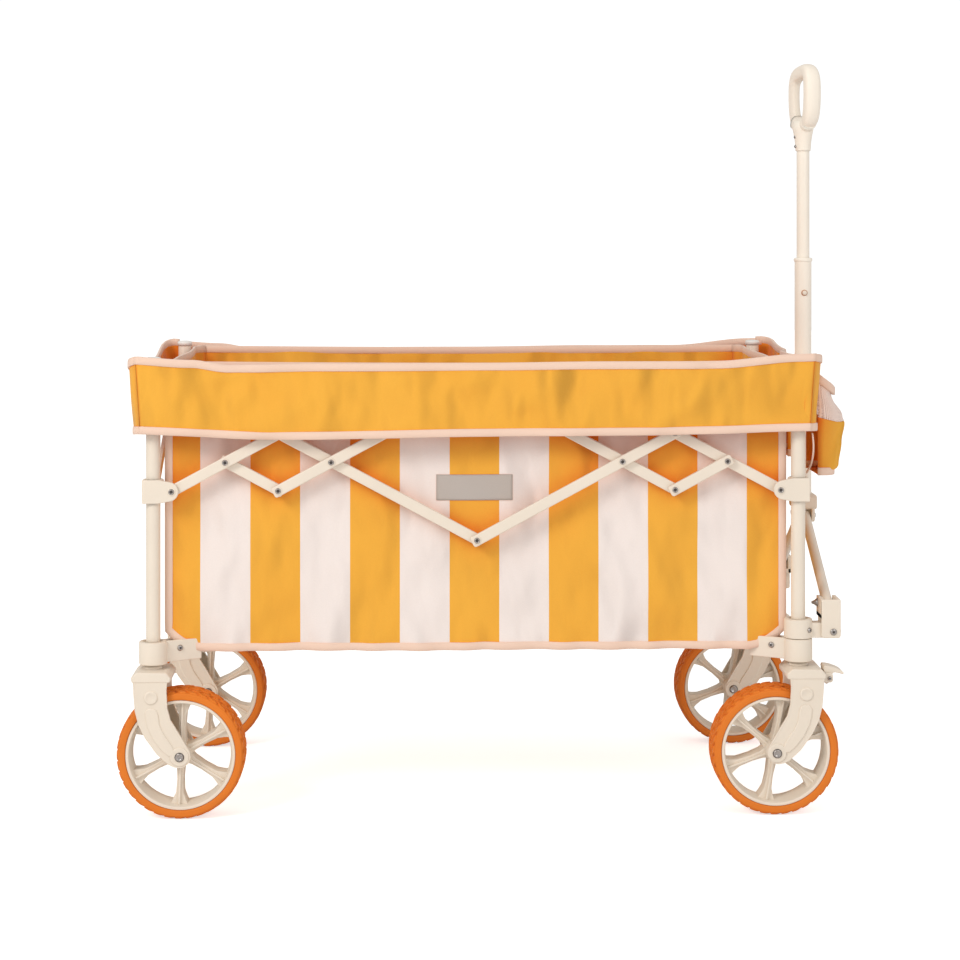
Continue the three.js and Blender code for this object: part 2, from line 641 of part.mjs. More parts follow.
// Foot pedal of the front brake, hinged between the fork's lugs.
function pedal(side) {
  const [x, y] = [POST_X, side * POST_Y];
  const leaf = polygon([
    [33.5, 203], [34.5, 206], [45, 204.5], [59, 199], [62.5, 195], [61, 193], [52, 196], [46, 196],
    [45, 187], [39, 179], [35, 181], [35.5, 190],
  ].map(([u, z]) => [x + u, z]));
  const shape = cut(
    join(plateXZ(leaf, [y - 14, y + 14]), rod([x + PEDAL_X, y - 14, PEDAL_Z], [x + PEDAL_X, y + 14, PEDAL_Z], 5)),
    rod([x + PEDAL_X, y - 20, PEDAL_Z], [x + PEDAL_X, y + 20, PEDAL_Z], 2.4),
  );
  return part(`brake_pedal_${side < 0 ? 'right' : 'left'}`, shape, CREAM);
}

function spoke(centre, angle) {
  const outline = polygon([[10, -5], [56, -4.5], [71, -8.5], [71, 8.5], [56, 4.5], [10, 5]]);
  const geometry = extrude(outline, 22);
  geometry.translate(0, 0, -11);
  geometry.rotateX(Math.PI / 2);
  geometry.rotateY(-angle);
  geometry.translate(...centre);
  return solid(geometry);
}

function rim({ name, end, side }) {
  const centre = [end * (POST_X - trailOf(end)), side * POST_Y, WHEEL_R];
  const ring = turnedWheel([
    [RIM_INNER_R + 1.5, -RIM_HALF], [RIM_R, -RIM_HALF], [RIM_R, RIM_HALF], [RIM_INNER_R + 1.5, RIM_HALF],
    [RIM_INNER_R - 1, 0], [RIM_INNER_R + 1.5, -RIM_HALF],
  ], centre);
  const hub = rod(
    [centre[0], centre[1] - WHEEL_HUB_HALF, WHEEL_R], [centre[0], centre[1] + WHEEL_HUB_HALF, WHEEL_R], HUB_R);
  const first = THREE.MathUtils.degToRad(end < 0 ? 28 : 20);
  const spokes = Array.from({ length: SPOKES }, (_, i) => spoke(centre, first + i * 2 * Math.PI / SPOKES));
  const bore = rod([centre[0], centre[1] - 40, WHEEL_R], [centre[0], centre[1] + 40, WHEEL_R], AXLE_BORE_R);
  return part(`rim_${name}`, cut(join(ring, hub, ...spokes), bore), CREAM);
}

function tyre({ name, end, side }) {
  const centre = [end * (POST_X - trailOf(end)), side * POST_Y, WHEEL_R];
  const profile = [
    [TYRE_BORE_R, -TYRE_HALF + 1.5], [84, -TYRE_HALF], [88, -20], [WHEEL_R, -10], [WHEEL_R, 10], [88, 20],
    [84, TYRE_HALF], [TYRE_BORE_R, TYRE_HALF - 1.5], [TYRE_BORE_R, -TYRE_HALF + 1.5],
  ];
  return part(`tyre_${name}`, turnedWheel(profile, centre), ORANGE);
}

// Cloth tub: four walls and a floor, with a hem that hangs a little below the floor.
function tub() {
  const walls = cut(
    slab(roundedBox(TUB_X, TUB_Y, TUB_CORNER), [TUB_FLOOR_Z, TUB_TOP]),
    slab(roundedBox(TUB_X - CLOTH, TUB_Y - CLOTH, TUB_CORNER - CLOTH), [TUB_FLOOR_Z + CLOTH, TUB_TOP + 5]),
  );
  const hems = [-1, 1].flatMap((flip) => [
    block([-375, 375], sorted(flip * TUB_Y, flip * (TUB_Y - CLOTH)), [HEM_Z, TUB_FLOOR_Z + 2]),
    block(sorted(flip * TUB_X, flip * (TUB_X - CLOTH)), [-150, 150], [HEM_Z, TUB_FLOOR_Z + 2]),
  ]);
  return part('cloth_tub', join(walls, ...hems), FABRIC);
}

// Plan outline of the flap, which passes behind the handle in the middle of the front.
function flapOutline(inset) {
  const [front, mid, y] = [FLAP_X - inset, FLAP_MID_X - inset, FLAP_Y - inset];
  const half = [
    [mid, 42], [front, 74], [front, y - 22], [front - 7, y - 7], [front - 22, y],
    [22 - front, y], [7 - front, y - 7], [-front, y - 22],
  ];
  return polygon([...half, ...half.map(([u, v]) => [u, -v]).reverse()]);
}

function pocket(side) {
  const plan = (inset) => polygon([
    [FLAP_X - CLOTH + inset, POCKET_Y[0] + inset], [POCKET_FRONT - 12, POCKET_Y[0] + inset],
    [POCKET_FRONT - inset, POCKET_Y[0] + 12], [POCKET_FRONT - inset, POCKET_Y[1] - 12],
    [POCKET_FRONT - 12, POCKET_Y[1] - inset], [FLAP_X - CLOTH + inset, POCKET_Y[1] - inset],
  ].map(([u, v]) => [u, side * v]));
  return [
    slab(plan(0), POCKET_Z),
    slab(plan(CLOTH), [POCKET_Z[0] + CLOTH, POCKET_Z[1] + 5]),
  ];
}

// Outer flap round the top of the posts, with a cup pocket each side of the handle.
function flap() {
  const ring = cut(slab(flapOutline(0), [FLAP_BOTTOM, FLAP_TOP]),
    slab(flapOutline(CLOTH), [FLAP_BOTTOM - 5, FLAP_TOP + 5]));
  const [rightOuter, rightInner] = pocket(-1);
  const [leftOuter, leftInner] = pocket(1);
  return part('cloth_flap', join(ring, cut(rightOuter, rightInner), cut(leftOuter, leftInner)), PEACH);
}

const wagon = new THREE.Group();
wagon.name = 'folding_wagon';
for (const corner of CORNERS) {
  wagon.add(post(corner), cornerBracket(corner), scissorBracket(corner), floorBar(corner));
  wagon.add(fork(corner), rim(corner), tyre(corner));
  wagon.add(...sideBars(corner.end, corner.side));
}
for (const side of [-1, 1]) {
  wagon.add(yoke(side), frameTube(side), pedal(side));
}
wagon.add(...rearBars(), floorHub(), topBracket(), outerTube(), innerTube(), snapButton(), grip(), tub(), flap());
wagon.position.x = SHIFT_X;

export default wagon;
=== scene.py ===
"""Folding wagon with pull handle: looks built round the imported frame. Metres, +X to the handle, +Z up."""
import json
import math

import bmesh
import bpy
from mathutils import Matrix, Vector, noise


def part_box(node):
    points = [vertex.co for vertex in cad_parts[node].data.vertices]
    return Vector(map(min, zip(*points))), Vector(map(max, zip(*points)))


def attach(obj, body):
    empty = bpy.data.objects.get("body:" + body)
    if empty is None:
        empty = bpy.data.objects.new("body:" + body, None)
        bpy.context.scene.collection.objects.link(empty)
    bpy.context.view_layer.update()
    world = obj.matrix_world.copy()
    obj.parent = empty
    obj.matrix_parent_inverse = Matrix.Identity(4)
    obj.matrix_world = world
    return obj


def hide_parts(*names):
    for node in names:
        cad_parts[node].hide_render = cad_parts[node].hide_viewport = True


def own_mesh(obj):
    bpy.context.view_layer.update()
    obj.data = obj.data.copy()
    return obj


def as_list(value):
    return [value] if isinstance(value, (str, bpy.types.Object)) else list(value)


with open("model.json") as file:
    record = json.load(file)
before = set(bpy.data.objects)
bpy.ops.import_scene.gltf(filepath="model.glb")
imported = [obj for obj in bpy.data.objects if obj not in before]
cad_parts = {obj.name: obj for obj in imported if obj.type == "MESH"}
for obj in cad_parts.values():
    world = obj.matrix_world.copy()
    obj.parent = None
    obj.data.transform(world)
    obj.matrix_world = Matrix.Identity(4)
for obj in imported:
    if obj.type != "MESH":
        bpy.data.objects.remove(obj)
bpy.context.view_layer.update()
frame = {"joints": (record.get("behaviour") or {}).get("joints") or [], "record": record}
TAU = 2 * math.pi
MM = 0.001


# ---------------------------------------------------------------- places taken from the frame
def box(node):
    low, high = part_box(node)
    return Vector(low), Vector(high)


def middle(node):
    low, high = box(node)
    return (low + high) / 2


CORNERS = ("rear_right", "rear_left", "front_right", "front_left")
POST = {c: middle(f"post_{c}") for c in CORNERS}
AXLE = {c: middle(f"tyre_{c}") for c in CORNERS}
CX = (POST["rear_right"].x + POST["front_right"].x) / 2
HALF_X = (POST["front_right"].x - POST["rear_right"].x) / 2
HALF_Y = POST["rear_left"].y
POST_TOP = box("post_rear_right")[1].z
MAST = middle("handle_outer_tube")
TUB_LOW, TUB_HIGH = box("cloth_tub")
FLAP_LOW, FLAP_HIGH = box("cloth_flap")
WHEEL_R = (box("tyre_rear_right")[1].z - box("tyre_rear_right")[0].z) / 2
JOINTS = {j["name"]: j for j in frame["joints"]}
PIVOT = {name: Vector(j["pos_m"]) for name, j in JOINTS.items() if j["type"] == "hinge"}
COUPLINGS = {c["joint"]: c["ratio"] for c in frame["record"]["behaviour"]["couplings"]}


def folded_half(half, foot, top, axis, ratio=1):
    """Half the distance between the posts along an axis when folded; foot and top are pivots of its first bar."""
    rest = math.atan2(top.z - foot.z, top[axis] - foot[axis])
    inset = foot[axis] - POST["rear_right"][axis]
    span = (half - inset) / math.cos(rest)
    return inset + span * math.cos(rest + ratio * math.radians(JOINTS["fold"]["range_deg"][1]))


FOLDED_Y = folded_half(HALF_Y, PIVOT["rear_end_right_hinge"], PIVOT["rear_end_top_hinge"], 1,
                       COUPLINGS["rear_end_right_hinge"])


# ---------------------------------------------------------------- camera
def look():
    yaw, far = math.radians(1.6), 3.222
    forward = Vector((math.sin(yaw), math.cos(yaw), 0))
    right = Vector((math.cos(yaw), -math.sin(yaw), 0))
    aim = Vector((CX, -HALF_Y, 0))
    place = aim - forward * far + right * 0.0043
    place.z = 0.825
    data = bpy.data.cameras.new("camera")
    data.lens, data.sensor_width = 86.6, 36
    data.shift_y = -0.269
    data.clip_end = 60
    camera = bpy.data.objects.new("camera", data)
    bpy.context.scene.collection.objects.link(camera)
    turn = Matrix((right, Vector((0, 0, 1)), -forward)).transposed()
    camera.matrix_world = Matrix.Translation(place) @ turn.to_4x4()
    bpy.context.scene.camera = camera


look()


# ---------------------------------------------------------------- materials
WHITE = (1.0, 1.0, 1.0)


class Nodes:
    """A material's node tree with short calls."""

    def __init__(self, name):
        self.material = bpy.data.materials.new(name)
        self.material.use_nodes = True
        self.tree = self.material.node_tree
        self.shader = self.tree.nodes["Principled BSDF"]

    def add(self, kind, **values):
        """New node. Each value sets the node's property of that name, or else its socket (_ is a space)."""
        node = self.tree.nodes.new(kind)
        for key, value in values.items():
            if hasattr(node, key):
                setattr(node, key, value)
            else:
                node.inputs[key.replace("_", " ")].default_value = value
        return node

    def wire(self, source, out, target, socket):
        self.tree.links.new(source.outputs[out], target.inputs[socket])

    def math(self, operation, a, b=None):
        node = self.add("ShaderNodeMath", operation=operation)
        for i, value in enumerate((a, b)):
            if value is None:
                continue
            if isinstance(value, (int, float)):
                node.inputs[i].default_value = value
            else:
                self.wire(value, 0, node, i)
        return node

    def mix(self, factor, a, b):
        """Blend of two colours, each a tuple or a colour node."""
        node = self.add("ShaderNodeMix", data_type="RGBA")
        self.wire(factor, 0, node, 0)
        for socket, value in ((6, a), (7, b)):
            if isinstance(value, tuple):
                node.inputs[socket].default_value = (*value, 1)
            else:
                self.wire(value, 2, node, socket)
        return node

    def multiply(self, a, b):
        """Product of the colours of two mix nodes."""
        node = self.add("ShaderNodeMix", data_type="RGBA", blend_type="MULTIPLY")
        node.inputs[0].default_value = 1.0
        self.wire(a, 2, node, 6)
        self.wire(b, 2, node, 7)
        return node

    def noise(self, source, out, scale, detail, **more):
        node = self.add("ShaderNodeTexNoise", Scale=scale, Detail=detail, **more)
        self.wire(source, out, node, "Vector")
        return node

    def wave(self, uv, axis, pitch, **more):
        """Bands across an axis of the UVs, pitch metres apart."""
        scale = TAU / (20 * pitch)
        node = self.add("ShaderNodeTexWave", wave_type="BANDS", bands_direction=axis, Scale=scale, **more)
        self.wire(uv, "UV", node, "Vector")
        return node

    def remap(self, source, out, **ends):
        node = self.add("ShaderNodeMapRange", **ends)
        self.wire(source, out, node, "Value")
        return node

    def bump(self, height, strength, distance, over=None):
        node = self.add("ShaderNodeBump", Strength=strength, Distance=distance)
        self.wire(height, 0, node, "Height")
        if over:
            self.wire(over, 0, node, "Normal")
        self.wire(node, 0, self.shader, "Normal")
        return node

    def finish(self, **values):
        """Sets the shader's constant numbers and gives the material."""
        for key, value in values.items():
            self.shader.inputs[key.replace("_", " ")].default_value = value
        return self.material


def linear(red, green, blue):
    """Linear colour of an sRGB one given from 0 to 255."""
    def one(v):
        v /= 255
        return v / 12.92 if v <= 0.04045 else ((v + 0.055) / 1.055) ** 2.4
    return (one(red), one(green), one(blue))


def dim(colour, k):
    return tuple(c * k for c in colour)


def paint(name, colour, rough, coat, grain=700, bump=0.03):
    """Painted metal or moulded plastic: slight tone drift, fine grain, lighter sharp edges."""
    n = Nodes(name)
    place = n.add("ShaderNodeTexCoord")
    drift = n.noise(place, "Object", 14.0, 3.0)
    fine = n.noise(place, "Object", float(grain), 2.0)
    tone = n.mix(drift, dim(colour, 0.94), dim(colour, 1.05))
    # Sharp convex edges, found by pointiness, are blended towards a lighter copy of the colour.
    edge = n.remap(n.add("ShaderNodeNewGeometry"), "Pointiness", From_Min=0.52, From_Max=0.62, To_Max=0.35)
    sharp_edge_lighter = n.mix(edge, tone, tuple(min(1.0, c * 1.15 + 0.03) for c in colour))
    n.wire(sharp_edge_lighter, 2, n.shader, "Base Color")
    n.wire(n.remap(drift, 0, To_Min=rough - 0.06, To_Max=rough + 0.08), 0, n.shader, "Roughness")
    n.bump(fine, bump, 0.0005)
    return n.finish(Coat_Weight=coat, Coat_Roughness=0.25)


def steel(name):
    """Bright steel with fine scratches."""
    n = Nodes(name)
    scratch = n.noise(n.add("ShaderNodeTexCoord"), "Object", 1500.0, 4.0)
    tone = n.mix(scratch, (0.26, 0.23, 0.22), (0.62, 0.59, 0.57))
    n.wire(tone, 2, n.shader, "Base Color")
    n.wire(n.remap(scratch, 0, To_Min=0.18, To_Max=0.4), 0, n.shader, "Roughness")
    return n.finish(Metallic=1.0)


def rubber(name, colour):
    """Matt rubber with a fine grain."""
    n = Nodes(name)
    place = n.add("ShaderNodeTexCoord")
    drift = n.noise(place, "Object", 18.0, 4.0)
    fine = n.noise(place, "Object", 900.0, 3.0)
    n.wire(n.mix(drift, dim(colour, 0.9), dim(colour, 1.08)), 2, n.shader, "Base Color")
    n.bump(fine, 0.12, 0.0004)
    return n.finish(Roughness=0.62, Specular_IOR_Level=0.35)


STRIPE = 0.0697
# Painted shade: colours that the amber and the pale cloth are multiplied towards where they are sheltered from light.
AMBER_PAINTED_SHADE = (1.0, 0.46, 0.26)
PALE_PAINTED_SHADE = (1.0, 0.76, 0.66)


def cloth(name, colour, second=None, pitch=0.0009, sheen=0.15, folds=0.0, painted_shade_tint=AMBER_PAINTED_SHADE):
    """Woven cloth on UVs in metres. With a second colour it has vertical stripes of equal width.

    Painted shade: where the ambient-occlusion node finds the cloth sheltered, as in creases and under the flap, its
    colour is multiplied towards the given shade tint."""
    n = Nodes(name)
    uv = n.add("ShaderNodeTexCoord")
    split = n.add("ShaderNodeSeparateXYZ")
    n.wire(uv, "UV", split, 0)
    warp, weft = (n.wave(uv, axis, pitch, Distortion=0.6) for axis in ("X", "Y"))
    weave = n.math("MULTIPLY", warp, weft)
    drift = n.noise(uv, "UV", 5.0, 4.0)
    thread = n.noise(uv, "UV", 420.0, 2.0)
    shelter = n.add("ShaderNodeAmbientOcclusion", samples=6, Distance=0.07)
    painted_shade_factor = n.remap(shelter, "AO", From_Min=0.42, From_Max=0.96)
    deep = (colour[0], colour[1] * 0.9, colour[2] * 0.8)
    # Painted shade: each colour is multiplied towards its shade tint as the ambient-occlusion factor falls.
    tone = n.multiply(n.mix(drift, deep, dim(colour, 1.04)), n.mix(painted_shade_factor, painted_shade_tint, WHITE))
    if second:
        other = n.multiply(n.mix(drift, dim(second, 0.97), dim(second, 1.03)), n.mix(painted_shade_factor, PALE_PAINTED_SHADE, WHITE))
        part = n.math("FRACT", n.math("DIVIDE", split, 2 * STRIPE))
        tone = n.mix(n.math("GREATER_THAN", part, 0.5), tone, other)
    shade = n.mix(weave, dim(WHITE, 0.93), WHITE)
    flecks = n.mix(thread, dim(WHITE, 0.95), WHITE)
    n.wire(n.multiply(n.multiply(tone, shade), flecks), 2, n.shader, "Base Color")
    slant = n.add("ShaderNodeMapping", Rotation=(0, 0, math.radians(-32)), Scale=(13.0, 6.0, 1.0))
    n.wire(uv, "UV", slant, "Vector")
    soft = n.noise(slant, 0, 1.0, 1.5, Roughness=0.45)
    n.bump(weave, 0.25, 0.0003, over=n.bump(soft, folds, 0.075))
    return n.finish(Roughness=0.78, Specular_IOR_Level=0.25, Sheen_Weight=sheen, Sheen_Roughness=0.5)


def ribbon(name, colour):
    """Folded binding tape: fine cross ribs and a row of stitches along its edge."""
    n = Nodes(name)
    uv = n.add("ShaderNodeTexCoord")
    split = n.add("ShaderNodeSeparateXYZ")
    n.wire(uv, "UV", split, 0)
    ribs = n.wave(uv, "X", 0.0011)
    dash = n.math("LESS_THAN", n.math("FRACT", n.math("DIVIDE", split, 0.0034)), 0.62)
    off = n.add("ShaderNodeMath", operation="SUBTRACT")
    n.wire(split, 1, off, 0)
    off.inputs[1].default_value = 0.2
    near = n.math("LESS_THAN", n.math("ABSOLUTE", off), 0.035)
    stitch = n.math("MULTIPLY", dash, near)
    tone = n.mix(stitch, n.mix(ribs, dim(colour, 0.93), dim(colour, 1.04)), dim(colour, 0.72))
    n.wire(tone, 2, n.shader, "Base Color")
    n.bump(n.math("SUBTRACT", n.math("MULTIPLY", ribs, 0.4), stitch), 0.4, 0.0004)
    return n.finish(Roughness=0.7, Sheen_Weight=0.2)


def netting(name, colour):
    """Elastic mesh: cords with round holes between them."""
    n = Nodes(name)
    cells = n.add("ShaderNodeTexVoronoi", feature="F1", Scale=420.0, Randomness=0.12)
    n.wire(n.add("ShaderNodeTexCoord"), "UV", cells, "Vector")
    hole = n.math("LESS_THAN", cells, 0.33)
    n.wire(n.mix(cells, dim(colour, 0.9), dim(colour, 1.05)), 2, n.shader, "Base Color")
    n.wire(n.math("SUBTRACT", 1.0, n.math("MULTIPLY", hole, 0.75)), 0, n.shader, "Alpha")
    return n.finish(Roughness=0.75)


CREAM_C = linear(236, 224, 208)
AMBER_C = linear(246, 183, 67)
PALE_C = linear(249, 238, 233)
PEACH_C = linear(240, 208, 188)
TYRE_C = linear(228, 124, 34)

TUBE = paint("cream_paint", CREAM_C, 0.38, 0.25)
# Lighter copy of the cream paint for the mast: partly the mast's own slightly paler colour, partly painted light
# making up for the lamps lighting the mast less than the posts.
MAST_PAINT_LIGHTENED = paint("mast_cream_paint_lightened", linear(250, 240, 226), 0.36, 0.25)
PLASTIC = paint("cream_plastic", dim(CREAM_C, 0.98), 0.5, 0.0, grain=1100, bump=0.06)
GRIP_PLASTIC = paint("pale_cream_plastic", linear(250, 240, 226), 0.5, 0.0, grain=1100, bump=0.06)
CAP_WHITE = paint("cap_white", linear(238, 236, 232), 0.4, 0.1)
STEEL = steel("bright_steel")
# Near-black painted shade, put in screw sockets, rivet dimples and the gap round axle bolt heads.
PAINTED_RECESS_SHADE = paint("painted_recess_shade", (0.05, 0.04, 0.035), 0.5, 0.0)
# Brownish painted shade for the ring round the snap button.
BUTTON_PAINTED_SHADE = paint("button_painted_shade", linear(196, 150, 118), 0.5, 0.0)
RUBBER = rubber("orange_tyre", TYRE_C)
AMBER = cloth("amber_cloth", AMBER_C, folds=0.9)
SEAM = cloth("seam_thread", dim(AMBER_C, 0.8))
STRIPED = cloth("striped_cloth", AMBER_C, PALE_C, folds=0.7)
PEACH = ribbon("peach_binding", PEACH_C)
# The patch's colour is multiplied towards a grey painted shade where it is sheltered.
PATCH = cloth("grey_patch", linear(192, 187, 184), pitch=0.0006, painted_shade_tint=(0.9, 0.86, 0.84))
NET = netting("pocket_net", linear(255, 236, 226))


# ---------------------------------------------------------------- mesh tools
def finish_mesh(name, bm, materials, smooth=True):
    bmesh.ops.recalc_face_normals(bm, faces=bm.faces)
    data = bpy.data.meshes.new(name)
    bm.to_mesh(data)
    bm.free()
    for material in materials:
        data.materials.append(material)
    for face in data.polygons:
        face.use_smooth = smooth
    obj = bpy.data.objects.new(name, data)
    bpy.context.scene.collection.objects.link(obj)
    return obj


def apply_modifiers(obj):
    graph = bpy.context.evaluated_depsgraph_get()
    data = bpy.data.meshes.new_from_object(obj.evaluated_get(graph))
    obj.modifiers.clear()
    obj.data = data
    return obj


def bevel(obj, width, segments=3, angle=35):
    m = obj.modifiers.new("edge", "BEVEL")
    m.width, m.segments, m.limit_method = width, segments, "ANGLE"
    m.angle_limit = math.radians(angle)
    m.harden_normals = False
    return apply_modifiers(obj)


def basis(origin, u, v):
    """Frame with axes u, v and their cross product, at origin."""
    u, v = Vector(u).normalized(), Vector(v).normalized()
    return Matrix.Translation(origin) @ Matrix((u, v, u.cross(v))).transposed().to_4x4()


AXIS_FRAMES = {"Z": ((1, 0, 0), (0, 1, 0)), "Y": ((0, 0, 1), (1, 0, 0)), "X": ((0, 1, 0), (0, 0, 1))}


def revolve(name, profile, origin, axis, material, segments=48):
    """Solid of revolution of (radius, height) points about an axis through origin."""
    at = basis(origin, *AXIS_FRAMES[axis]) if isinstance(axis, str) else axis_frame(origin, axis)
    bm = bmesh.new()
    rings = []
    closed = profile[0] == profile[-1]
    fine = [profile[0]]
    for (r0, h0), (r1, h1) in zip(profile, profile[1:]):
        parts = max(1, math.ceil(math.hypot(r1 - r0, h1 - h0) / 0.04)) if min(r0, r1) > 0.002 else 1
        fine += [(r0 + (r1 - r0) * k / parts, h0 + (h1 - h0) * k / parts) for k in range(1, parts + 1)]
    points = fine[:-1] if closed else fine
    for r, h in points:
        if r < 1e-7:
            rings.append([bm.verts.new(at @ Vector((0, 0, h)))])
            continue
        turns = [TAU * i / segments for i in range(segments)]
        rings.append([bm.verts.new(at @ Vector((r * math.cos(a), r * math.sin(a), h))) for a in turns])
    pairs = list(zip(rings, rings[1:])) + ([(rings[-1], rings[0])] if closed else [])
    for a, b in pairs:
        for i in range(segments):
            j = (i + 1) % segments
            corners = [a[i % len(a)], a[j % len(a)], b[j % len(b)], b[i % len(b)]]
            corners = list(dict.fromkeys(corners))
            if len(corners) > 2:
                bm.faces.new(corners)
    return finish_mesh(name, bm, [material])


def axis_frame(origin, direction):
    w = Vector(direction).normalized()
    helper = Vector((0, 0, 1)) if abs(w.z) < 0.9 else Vector((1, 0, 0))
    u = helper.cross(w).normalized()
    return Matrix.Translation(origin) @ Matrix((u, w.cross(u), w)).transposed().to_4x4()


def prism(name, outline, at, depth, material, edge=0.001, dish=None, segments=3):
    """Plate from a 2-D outline in the frame `at`, depth along its third axis.

    dish = (inset, depth) sinks the far face."""
    bm = bmesh.new()
    low = [bm.verts.new(at @ Vector((u, v, 0))) for u, v in outline]
    high = [bm.verts.new(at @ Vector((u, v, depth))) for u, v in outline]
    bm.faces.new(low)
    top = bm.faces.new(high)
    n = len(outline)
    for i in range(n):
        j = (i + 1) % n
        bm.faces.new((low[i], low[j], high[j], high[i]))
    if dish:
        bmesh.ops.recalc_face_normals(bm, faces=bm.faces)
        bmesh.ops.inset_region(bm, faces=[top], thickness=dish[0])
        push = (at.to_3x3() @ Vector((0, 0, 1))).normalized() * -dish[1]
        for vert in top.verts:
            vert.co += push
    obj = finish_mesh(name, bm, [material])
    return bevel(obj, edge, segments) if edge else obj


def join(name, objects):
    first = objects[0]
    bm = bmesh.new()
    materials = []
    for obj in objects:
        start = len(bm.faces)
        bm.from_mesh(obj.data)
        bm.faces.ensure_lookup_table()
        slots = []
        for material in obj.data.materials:
            if material not in materials:
                materials.append(material)
            slots.append(materials.index(material))
        for face in bm.faces[start:]:
            face.material_index = slots[min(face.material_index, len(slots) - 1)]
    data = bpy.data.meshes.new(name)
    bm.to_mesh(data)
    bm.free()
    for material in materials:
        data.materials.append(material)
    for obj in objects[1:]:
        bpy.data.objects.remove(obj)
    first.data = data
    first.name = name
    return first


def sweep(name, path, section, material, closed=False, up=(0, 0, 1), uv=False, scale=None):
    """Sweeps a closed 2-D section along a path; section x is across `up`, section y along it."""
    bm = bmesh.new()
    layer = bm.loops.layers.uv.new("UVMap") if uv else None
    rings, run = [], [0.0]
    n = len(path)
    for i in range(n):
        before = path[i - 1] if closed or i else path[i]
        after = path[(i + 1) % n] if closed or i < n - 1 else path[i]
        along = (after - before).normalized()
        lift = Vector(up(i / (n - 1)) if callable(up) else up)
        side = along.cross(lift).normalized()
        lift = side.cross(along).normalized()
        k = scale(i / (n - 1)) if scale else (1, 1)
        rings.append([bm.verts.new(path[i] + side * (x * k[0]) + lift * (y * k[1])) for x, y in section])
        if i:
            run.append(run[-1] + (path[i] - path[i - 1]).length)
    m = len(section)
    loops = [(i, i + 1) for i in range(n - 1)] + ([(n - 1, 0)] if closed else [])
    for a, b in loops:
        for k in range(m):
            l = (k + 1) % m
            face = bm.faces.new((rings[a][k], rings[a][l], rings[b][l], rings[b][k]))
            if layer:
                start, end = run[a], run[b] if b else run[a] + (path[0] - path[a]).length
                for loop, (s, t) in zip(face.loops, ((start, k), (start, k + 1), (end, k + 1), (end, k))):
                    loop[layer].uv = (s, t / m)
    if not closed:
        bm.faces.new(rings[0])
        bm.faces.new(rings[-1])
    return finish_mesh(name, bm, [material])


def arc(cx, cy, r, start, steps, sweep_deg=90):
    """Points on an arc about (cx, cy) from the angle start, in degrees."""
    turns = [math.radians(start + sweep_deg * i / steps) for i in range(steps + 1)]
    return [(cx + r * math.cos(a), cy + r * math.sin(a)) for a in turns]


def rounded_rect(x0, x1, y0, y1, r, steps=5):
    corners = ((x1 - r, y0 + r), (x1 - r, y1 - r), (x0 + r, y1 - r), (x0 + r, y0 + r))
    return [p for i, (cx, cy) in enumerate(corners) for p in arc(cx, cy, r, 90 * i - 90, steps)]


def stadium(length, r):
    """Flattened tube from 0 to length whose blunt ends reach r past it, with small round corners."""
    return rounded_rect(-r, length + r, -r, r, r * 0.45, 4)


def facing(side, x, y):
    """Frame of a plate in the XZ plane: u is X, v is Z, and its depth goes to that side along Y."""
    return Matrix(((1, 0, 0, x), (0, 0, side, y), (0, 1, 0, 0), (0, 0, 0, 1)))


def across_x(x):
    """Frame of a plate in the YZ plane at x, with its depth along X."""
    return Matrix(((0, 0, 1, x), (1, 0, 0, 0), (0, 1, 0, 0), (0, 0, 0, 1)))


def add(obj, body, slot, *nodes):
    if slot in (PL, ST, "tyre"):
        shade = obj.modifiers.new("shade", "WEIGHTED_NORMAL")
        shade.weight = 60
    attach(obj, body)
    if nodes:
        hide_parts(*nodes)
    return obj


PL, ST = "cream_plastic", "painted_steel"
SIDES = {"right": -1, "left": 1}


def body_of_corner(corner, part):
    """Body that a corner's fork or wheel belongs to."""
    if part == "wheel":
        return f"wheel_{corner}"
    return corner if corner.startswith("rear") else f"caster_{corner}"


# ---------------------------------------------------------------- fasteners
def rivet(name, place, direction, body, r=0.0042):
    """Domed steel rivet on a thin washer, with a small dimple filled by a near-black disc of painted shade."""
    washer = [(0, -0.0008), (r * 1.5, -0.0008), (r * 1.5, 0.0002), (r * 1.35, 0.0006), (0, 0.0006)]
    head = [(0, 0.0004), (r, 0.0004), (r * 0.97, 0.0014), (r * 0.8, 0.0022), (r * 0.62, 0.0022),
            (r * 0.52, 0.0012), (0, 0.0011)]
    well = [(0, 0.0011), (r * 0.52, 0.0011), (r * 0.5, 0.0014), (0, 0.0013)]
    layers = ((washer, PLASTIC, 28), (head, STEEL, 28), (well, PAINTED_RECESS_SHADE, 20))
    parts = [revolve("layer", profile, place, direction, material, n) for profile, material, n in layers]
    return add(join(name, parts), body, ST)


def screw(name, place, direction, body, r=0.0042):
    """Pan-head screw whose socket is a near-black disc of painted shade."""
    pan = [(0, -0.001), (r, -0.001), (r, 0.0008), (r * 0.8, 0.0019), (r * 0.5, 0.0022), (0, 0.0022)]
    well = [(0, 0.0018), (r * 0.42, 0.0018), (r * 0.42, 0.00235), (0, 0.0023)]
    parts = [revolve("pan", pan, place, direction, STEEL, 28), revolve("well", well, place, direction, PAINTED_RECESS_SHADE, 6)]
    return add(join(name, parts), body, ST)


# ---------------------------------------------------------------- posts and brackets
def posts():
    r, top = 0.010, POST_TOP - 0.004
    for c in CORNERS:
        low = box(f"post_{c}")[0].z
        at = Vector((POST[c].x, POST[c].y, 0))
        tube = revolve(f"upright_{c}", [(0, low), (r, low), (r, top - 0.008), (0, top - 0.008)], at, "Z", TUBE)
        add(tube, c, ST, f"post_{c}")
        cap = revolve(f"post_cap_{c}", [
            (0, top - 0.0075), (0.0113, top - 0.0075), (0.0115, top - 0.003), (0.0105, top - 0.001),
            (0.0075, top), (0, top)], at, "Z", CAP_WHITE)
        add(cap, c, PL)


